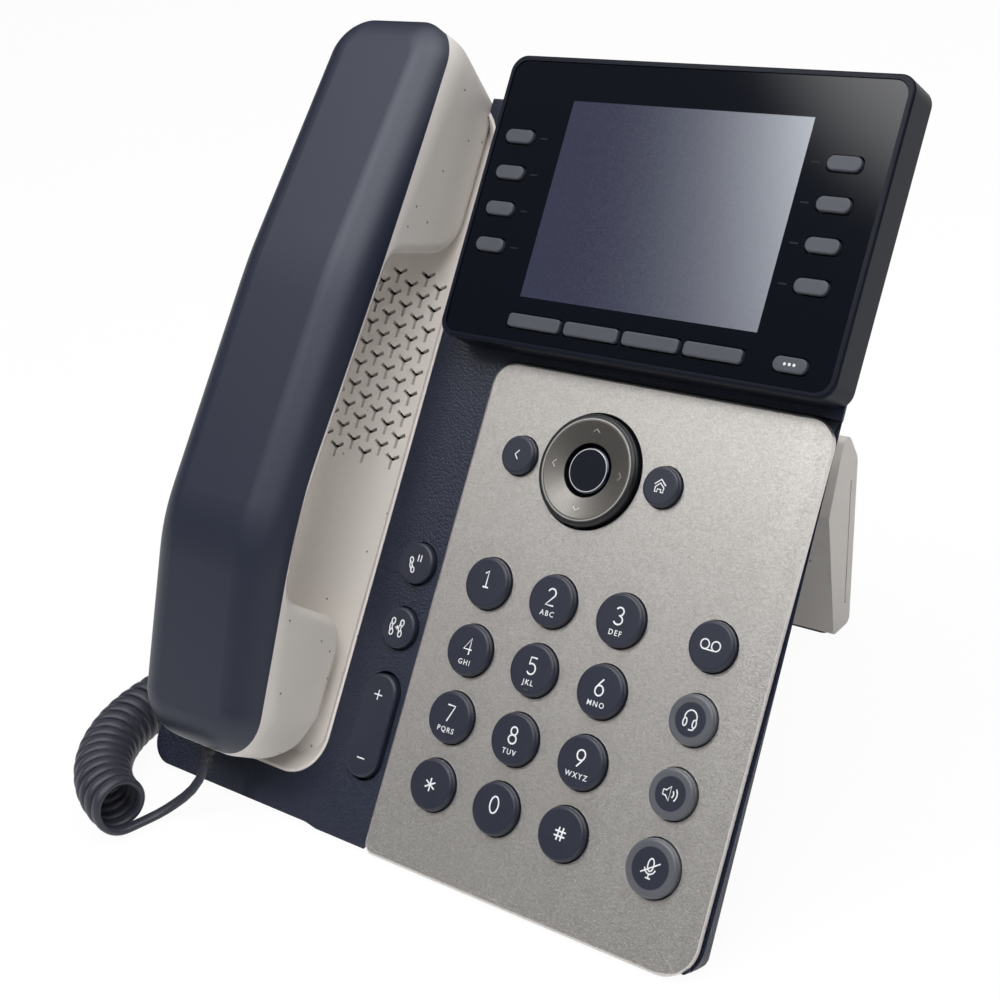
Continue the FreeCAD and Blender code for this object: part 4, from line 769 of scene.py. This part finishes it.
def crossed_slots(finish):
    """Painted shade of the cross slots of screws at the corners of a rectangle: dark bars that lie
    on the flat screw heads.
    """
    rule = Rule("crossed_slots", span_across="Float", span_up="Float", arm="Float", slot="Float")
    corners = rule.node("GeometryNodeMeshGrid", {},
                        {"Size X": rule.size("span_across"), "Vertices X": 2,
                         "Size Y": rule.size("span_up"), "Vertices Y": 2})
    arms = []
    for x, y in ((rule.size("arm"), rule.size("slot")), (rule.size("slot"), rule.size("arm"))):
        bar = rule.node("GeometryNodeMeshCube", {}, {"Size": rule.across(x, y, SLOT_DEPTH)})
        arms.append(rule.node("GeometryNodeInstanceOnPoints", {},
                              {"Points": corners, "Instance": bar}))
    both = rule.tree.nodes.new("GeometryNodeJoinGeometry")
    for arm in arms:
        rule.tree.links.new(arm.socket, both.inputs[0])
    rule.close(Reading(rule, both.outputs[0]), finish)
    return rule


def ribbed_sleeve(finish):
    """Tapered sleeve along a line, with ribs round it."""
    rule = Rule("ribbed_sleeve", steps="Int", start_radius="Float", end_radius="Float",
                ribs="Float", rib="Float")
    line = rule.node("GeometryNodeResampleCurve", {},
                     {"Curve": rule.size("Line"), "Count": rule.size("steps")})
    share = rule.node("GeometryNodeSplineParameter")
    start, end = rule.size("start_radius"), rule.size("end_radius")
    taper = start + (end - start) * share
    ridge = abs((share * rule.size("ribs") * math.pi).wave()) * rule.size("rib")
    ring = rule.node("GeometryNodeCurvePrimitiveCircle", {}, {"Resolution": 20, "Radius": 1.0})
    sleeve = rule.node("GeometryNodeCurveToMesh", {},
                       {"Curve": line, "Profile Curve": ring,
                        "Scale": taper + ridge, "Fill Caps": True})
    rule.close(rule.node("GeometryNodeSetShadeSmooth", {}, {"Geometry": sleeve}), finish)
    return rule


def on_base(name, mesh, finish, x, y, z):
    """Places a mesh that was made in millimetres at a point of the face."""
    mesh.transform(FACE @ Matrix.Translation((x, y, z)))
    piece(name, mesh, finish, "base")


def make_rows():
    """Ticks beside the line keys, contacts in the jacks and the painted shade of the slots in the
    screws.
    """
    ticks = row_of_bars(FINISH["faint"])
    top = PANEL[1] + 1.5 * LINE_KEY_PITCH + LINE_KEY_RISE
    for side, x in (("left", PANEL[0] - LINE_KEY_REACH + TICK_INSET[0]),
                    ("right", PANEL[0] + LINE_KEY_REACH - TICK_INSET[1])):
        mesh = ticks.made(count=4, step=(0.0, -LINE_KEY_PITCH, 0.0), bar=TICK, lean=0.0)
        on_base("line_ticks_" + side, mesh, FINISH["faint"], x, top, LENS_LEVEL + TICK_LIFT)
    contacts = row_of_bars(FINISH["gold"])
    for name, middle, count, rise in (
            ("network_contacts_1", NETWORK_JACKS[0], NETWORK_CONTACTS, NETWORK_RISE),
            ("network_contacts_2", NETWORK_JACKS[1], NETWORK_CONTACTS, NETWORK_RISE),
            ("headset_contacts", HEADSET_JACK, HEADSET_CONTACTS, HEADSET_RISE)):
        mesh = contacts.made(count=count, step=(CONTACT_PITCH, 0.0, 0.0), bar=CONTACT,
                             lean=CONTACT_LEAN)
        first = middle - CONTACT_PITCH / 2 * (count - 1)
        on_base(name, mesh, FINISH["gold"], first, JACK_ROW + rise, BACK_LEVEL + CONTACT_DEPTH)
    # dark crosses on the screw heads: painted shade standing in for recessed slots
    slot_shade_maker = crossed_slots(FINISH["shade"])
    mesh = slot_shade_maker.made(span_across=SCREW_SPAN[0], span_up=SCREW_SPAN[1],
                      arm=SLOT_ARM, slot=SLOT_WIDTH)
    on_base("screw_slot_shade", mesh, FINISH["shade"], *SCREW_MIDDLE, BACK_LEVEL - SCREW_HEAD)


# ---------------------------------------------------------------- legends

def arc(x, y, across, upward, start, end, steps=14):
    """Points on part of an oval, from one angle to another."""
    angles = [math.radians(start + (end - start) * step / steps) for step in range(steps + 1)]
    return [(x + across * math.cos(angle), y + upward * math.sin(angle)) for angle in angles]


def oval(x, y, across, upward):
    """Points round a whole oval, from its top."""
    return arc(x, y, across, upward, 90, 450, 24)


def shifted(strokes, x, y, turn=0.0, size=1.0):
    """Strokes moved, turned by degrees and scaled."""
    c, s = math.cos(math.radians(turn)) * size, math.sin(math.radians(turn)) * size
    return [[(x + c * u - s * v, y + s * u + c * v) for u, v in stroke] for stroke in strokes]


SIX = [oval(0, -1.0, 1.4, 1.5), [(0.75, 2.5), (-0.35, 1.05), (-1.1, -0.1), (-1.4, -1.0)]]
NUMBERS = {
    "1": [[(-0.95, 1.6), (0.2, 2.5), (0.2, -2.5)], [(-0.85, -2.5), (1.25, -2.5)]],
    "2": [arc(0, 1.15, 1.35, 1.35, 165, -38) + [(-1.4, -2.5), (1.5, -2.5)]],
    "3": [arc(-0.1, 1.3, 1.3, 1.2, 155, -90) + arc(-0.1, -1.2, 1.5, 1.3, 90, -155)],
    "4": [[(0.75, -2.5), (0.75, 2.5), (-1.5, -0.95), (1.6, -0.95)]],
    "5": [[(1.25, 2.5), (-1.0, 2.5), (-1.15, 0.45)] + arc(-0.15, -0.9, 1.5, 1.6, 125, -145)],
    "6": SIX,
    "7": [[(-1.4, 2.5), (1.5, 2.5), (-0.5, -2.5)]],
    "8": [oval(0, 1.3, 1.15, 1.2), oval(0, -1.2, 1.4, 1.3)],
    "9": shifted(SIX, 0, 0, 180),
    "0": [oval(0, 0, 1.5, 2.5)],
    "star": [arc(0, 0, 1.8, 1.8, angle, angle + 180, 1) for angle in (90, 30, 150)],
    "hash": [[(-0.75, -1.7), (-0.45, 1.7)], [(0.45, -1.7), (0.75, 1.7)],
             [(-1.7, -0.6), (1.6, -0.6)], [(-1.6, 0.6), (1.7, 0.6)]],
}
LETTERS = {"2": "ABC", "3": "DEF", "4": "GHI", "5": "JKL",
           "6": "MNO", "7": "PQRS", "8": "TUV", "9": "WXYZ"}

RECEIVER = [oval(0.25, 1.55, 0.62, 0.85), oval(0.25, -1.55, 0.62, 0.85),
            arc(0.95, 0, 1.55, 1.75, 128, 232, 12), arc(1.05, 0, 0.85, 0.9, 125, 235, 8)]
ICONS = {
    "key_voicemail": [oval(-1.5, 0.15, 1.15, 1.15), oval(1.5, 0.15, 1.15, 1.15),
                      [(-1.5, -1.0), (1.5, -1.0)]],
    "key_headset": [arc(0, 0.35, 1.65, 1.9, -5, 185, 20),
                    oval(-1.3, -0.75, 0.5, 0.95), oval(1.3, -0.75, 0.5, 0.95),
                    [(1.55, -1.6), (1.2, -2.2), (0.5, -2.35), (0.05, -2.3)]],
    "key_speaker": [[(-2.0, 0.6), (-1.2, 0.6), (-0.1, 1.7), (-0.1, -1.7), (-1.2, -0.6),
                     (-2.0, -0.6), (-2.0, 0.6)],
                    arc(-0.25, 0, 1.15, 1.15, -42, 42, 8), arc(-0.25, 0, 2.1, 2.1, -42, 42, 10)],
    "key_mute": [oval(0, 0.75, 0.8, 1.5), arc(0, 0.35, 1.55, 1.75, 195, 345, 14),
                 [(0, -1.45), (0, -2.4)], [(-0.7, -2.4), (0.7, -2.4)],
                 [(-2.3, -1.5), (2.4, 1.7)]],
    "key_hold": [*shifted(RECEIVER, -1.0, -0.8, 22, 0.86),
                 [(0.75, 0.5), (0.75, 2.35)], [(1.7, 0.5), (1.7, 2.35)]],
    "key_transfer": [*shifted(RECEIVER, -1.9, 0, 0, 0.95), *shifted(RECEIVER, 1.1, 0, 0, 0.95),
                     [(-0.65, 0), (0.35, 0)], [(-0.15, 0.5), (0.4, 0), (-0.15, -0.5)]],
    "key_back": [[(0.5, 1.2), (-0.55, 0), (0.5, -1.2)]],
    "key_home": [[(-1.6, 0.3), (0, 1.7), (1.6, 0.3)],
                 [(-0.5, -1.5), (-1.2, -1.5), (-1.2, -0.3), (0, 0.75), (1.2, -0.3), (1.2, -1.5),
                  (0.5, -1.5), (0.5, -0.8), (-0.5, -0.8), (-0.5, -1.5)]],
    "volume_rocker": [*shifted([[(-1.35, 0), (1.35, 0)], [(0, -1.35), (0, 1.35)]], 0, 8.2),
                      [(-1.3, -9.0), (1.3, -9.0)]],
}


def drawn(strokes, weight, rise=INK_RISE):
    """Ink of a round pen, in millimetres on the face, flattened to a share of its thickness."""
    line = bpy.data.curves.new("pen", "CURVE")
    line.dimensions = "3D"
    line.bevel_depth = weight / 2
    line.bevel_resolution = 2
    line.use_fill_caps = True
    for stroke in strokes:
        closed = len(stroke) > 3 and math.dist(stroke[0], stroke[-1]) < 0.01
        points = stroke[:-1] if closed else stroke
        spline = line.splines.new("POLY")
        spline.points.add(len(points) - 1)
        for spot, point in zip(spline.points, points):
            spot.co = (*point, 0.0, 1.0)
        spline.use_cyclic_u = closed
    mesh = solid_of(line, "pen")
    for vertex in mesh.vertices:
        vertex.co.z *= rise
    return mesh


def lettered(words, height):
    """Small bold capitals, in millimetres on the face, centred."""
    text = bpy.data.curves.new("capitals", "FONT")
    text.body = words
    text.size = height / CAPITAL_SHARE
    text.align_x = "CENTER"
    text.align_y = "CENTER"
    text.space_character = LETTER_SPACING
    text.offset = LETTER_BOLD
    text.extrude = LETTER_RELIEF
    text.resolution_u = 3
    return solid_of(text, "capitals")


def joined(meshes):
    """One mesh of several, each moved across and up."""
    corners, faces = [], []
    for mesh, x, y in meshes:
        first = len(corners)
        corners += [(v.co.x + x, v.co.y + y, v.co.z) for v in mesh.vertices]
        faces += [[first + corner for corner in face.vertices] for face in mesh.polygons]
    made = bpy.data.meshes.new("joined")
    made.from_pydata(corners, [], faces)
    return made


def settle(mesh, node, centre):
    """Lays a drawing on a node's outer surface, round a place on the face."""
    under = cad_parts[node].data
    under.calc_loop_triangles()
    shape = BVHTree.FromPolygons([v.co for v in under.vertices],
                                 [tuple(t.vertices) for t in under.loop_triangles])
    for vertex in mesh.vertices:
        x, y = vertex.co.x + centre[0], vertex.co.y + centre[1]
        hit = shape.ray_cast(on_face(x, y, ABOVE_ALL), -OUT)[0]
        level = (OFF_FACE @ hit).z if hit else (OFF_FACE @ (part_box(node)[1])).z
        vertex.co = on_face(x, y, level + PRINT_LIFT + vertex.co.z)
    mesh.update()
    return mesh


def dial_place(name):
    """Middle of a dial key on the face."""
    order = ["1", "2", "3", "4", "5", "6", "7", "8", "9", "star", "0", "hash"]
    row, column = divmod(order.index(name), 3)
    return DIAL_COLUMNS[column], DIAL_ROWS[row]


def make_legends():
    """Numbers, letters and signs printed on the keys."""
    for name, strokes in NUMBERS.items():
        key = "key_" + name
        alone = name in ("star", "hash")
        size, rise = (SIGN_SIZE, 0) if alone else (NUMBER_SIZE, NUMBER_RISE)
        parts = [(drawn(shifted(strokes, 0, 0, size=size), NUMBER_PEN), 0, rise)]
        if name in LETTERS:
            parts.append((lettered(LETTERS[name], LETTER_HEIGHT), 0, LETTER_DROP))
        mesh = settle(joined(parts), key, dial_place(name))
        piece("legend_" + key, mesh, FINISH["white"], key)
    places = {
        "key_voicemail": (FUNCTION_COLUMN, DIAL_ROWS[0]),
        "key_headset": (FUNCTION_COLUMN, DIAL_ROWS[1]),
        "key_speaker": (FUNCTION_COLUMN, DIAL_ROWS[2]),
        "key_mute": (FUNCTION_COLUMN, DIAL_ROWS[3]),
        "key_hold": (SIDE_COLUMN, DIAL_ROWS[0]),
        "key_transfer": (SIDE_COLUMN, DIAL_ROWS[1]),
        "volume_rocker": (SIDE_COLUMN, ROCKER_Y),
        "key_back": (NAV[0] - MENU_KEY_REACH, NAV[1]),
        "key_home": (NAV[0] + MENU_KEY_REACH, NAV[1]),
    }
    for key, strokes in ICONS.items():
        mesh = settle(drawn(strokes, SIGN_PEN), key, places[key])
        body = "volume" if key == "volume_rocker" else key
        piece("legend_" + key, mesh, FINISH["white"], body)
    dots = [oval(x, 0, DOT_RADIUS, DOT_RADIUS) for x in (-DOT_PITCH, 0, DOT_PITCH)]
    mesh = settle(drawn(dots, NUMBER_PEN), "key_page", PAGE_KEY)
    piece("legend_key_page", mesh, FINISH["white"], "key_page")


def make_nub():
    """Raised bar that the finger finds on key 5."""
    bar = drawn([[(-NUB_REACH, NUB_DROP), (NUB_REACH, NUB_DROP)]], NUB_WIDTH, NUB_RISE)
    mesh = settle(bar, "key_5", dial_place("5"))
    piece("key_5_nub", mesh, FINISH["key"], "key_5")


def make_nav_marks():
    """Chevrons on the dished face of the nav ring."""
    strokes = []
    for turn in (0, 90, 180, 270):
        x = -CHEVRON_REACH * math.sin(math.radians(turn))
        y = CHEVRON_REACH * math.cos(math.radians(turn))
        strokes += shifted(CHEVRON, x, y, turn)
    mesh = settle(drawn(strokes, CHEVRON_PEN), "nav_ring", NAV)
    piece("nav_marks", mesh, FINISH["mark"], "nav_ring")


# ---------------------------------------------------------------- stage

def set_camera():
    """Camera of the photograph."""
    lens = bpy.data.cameras.new("camera")
    lens.lens = LENS
    lens.sensor_width = SENSOR
    camera = bpy.data.objects.new("camera", lens)
    bpy.context.scene.collection.objects.link(camera)
    look = Vector(CAMERA_LOOK).normalized()
    right = Vector(CAMERA_RIGHT)
    right = (right - look * right.dot(look)).normalized()
    turn = Matrix((right, right.cross(look), -look)).transposed().to_4x4()
    camera.matrix_world = Matrix.Translation(CAMERA_PLACE) @ turn
    bpy.context.scene.camera = camera


def add_lamp(name, place, aim, size, power):
    """Round soft lamp at a place, aimed at another."""
    lamp = bpy.data.lights.new(name, "AREA")
    lamp.shape = "DISK"
    lamp.size = size
    lamp.energy = power
    holder = bpy.data.objects.new(name, lamp)
    bpy.context.scene.collection.objects.link(holder)
    holder.location = place
    holder.rotation_euler = (Vector(aim) - Vector(place)).to_track_quat("-Z", "Y").to_euler()


def pale_desk():
    """Pale finish that the camera and shiny surfaces see as near white, with the phone's shadow."""
    made = bpy.data.materials.new("pale_desk")
    made.use_nodes = True
    tree = Tree(made.node_tree)
    tree.tree.nodes.clear()
    seen, shone, through = [tree.node("ShaderNodeLightPath", output="Is %s Ray" % ray)
                            for ray in ("Camera", "Glossy", "Transmission")]
    share = seen.sum("MAXIMUM", seen.sum("MAXIMUM", seen, shone), through) * WHITE_SHARE
    plain = tree.node("ShaderNodeBsdfDiffuse", {}, {"Color": DESK_COLOUR})
    white = tree.node("ShaderNodeEmission")
    both = tree.node("ShaderNodeMixShader", {}, {0: share, 1: plain, 2: white})
    tree.end("ShaderNodeOutputMaterial", both)
    return made


def soft_sky():
    """Dim sky that is brighter above, with the glow of a large soft lamp in front."""
    world = bpy.data.worlds.new("sky")
    world.use_nodes = True
    tree = Tree(world.node_tree)
    tree.tree.nodes.clear()
    where = tree.node("ShaderNodeTexCoord", output="Generated")
    height = tree.node("ShaderNodeSeparateXYZ", {}, {0: where}, "Z")
    near, around = [tree.node("ShaderNodeVectorMath", {"operation": "DOT_PRODUCT"},
                              {0: where, 1: heading}, "Value")
                    for heading in (GLOW_HEADING, SKIRT_HEADING)]
    glow = near.ramp(math.cos(math.radians(GLOW_EDGE[1])), math.cos(math.radians(GLOW_EDGE[0])))
    skirt = around.ramp(*SKIRT_SPAN)
    light = height.ramp(*SKY_SPAN) * (SKY_HIGH - SKY_LOW) + SKY_LOW + skirt * SKIRT + glow * GLOW
    tree.end("ShaderNodeOutputWorld", tree.node("ShaderNodeBackground", {}, {"Strength": light}))
    return world


def set_stage():
    """Desk, sky and soft lamps."""
    desk = bpy.data.meshes.new("desk")
    corners = [(x * DESK_REACH, y * DESK_REACH, height) for height in (0.0, WALL_HEIGHT)
               for x, y in ((-1, -1), (1, -1), (1, 1), (-1, 1))]
    walls = [(side, side + 4, (side + 1) % 4 + 4, (side + 1) % 4) for side in range(4)]
    desk.from_pydata(corners, [], [(0, 1, 2, 3)] + walls)
    floor = bpy.data.objects.new("desk", desk)
    bpy.context.scene.collection.objects.link(floor)
    desk.materials.append(pale_desk())
    bpy.context.scene.world = soft_sky()
    for name, values in LAMPS.items():
        add_lamp(name, *values)
    bpy.context.scene.view_settings.view_transform = "Standard"


set_camera()
make_cord()
finish_nodes()
make_legends()
make_nub()
make_nav_marks()
make_rows()
set_stage()
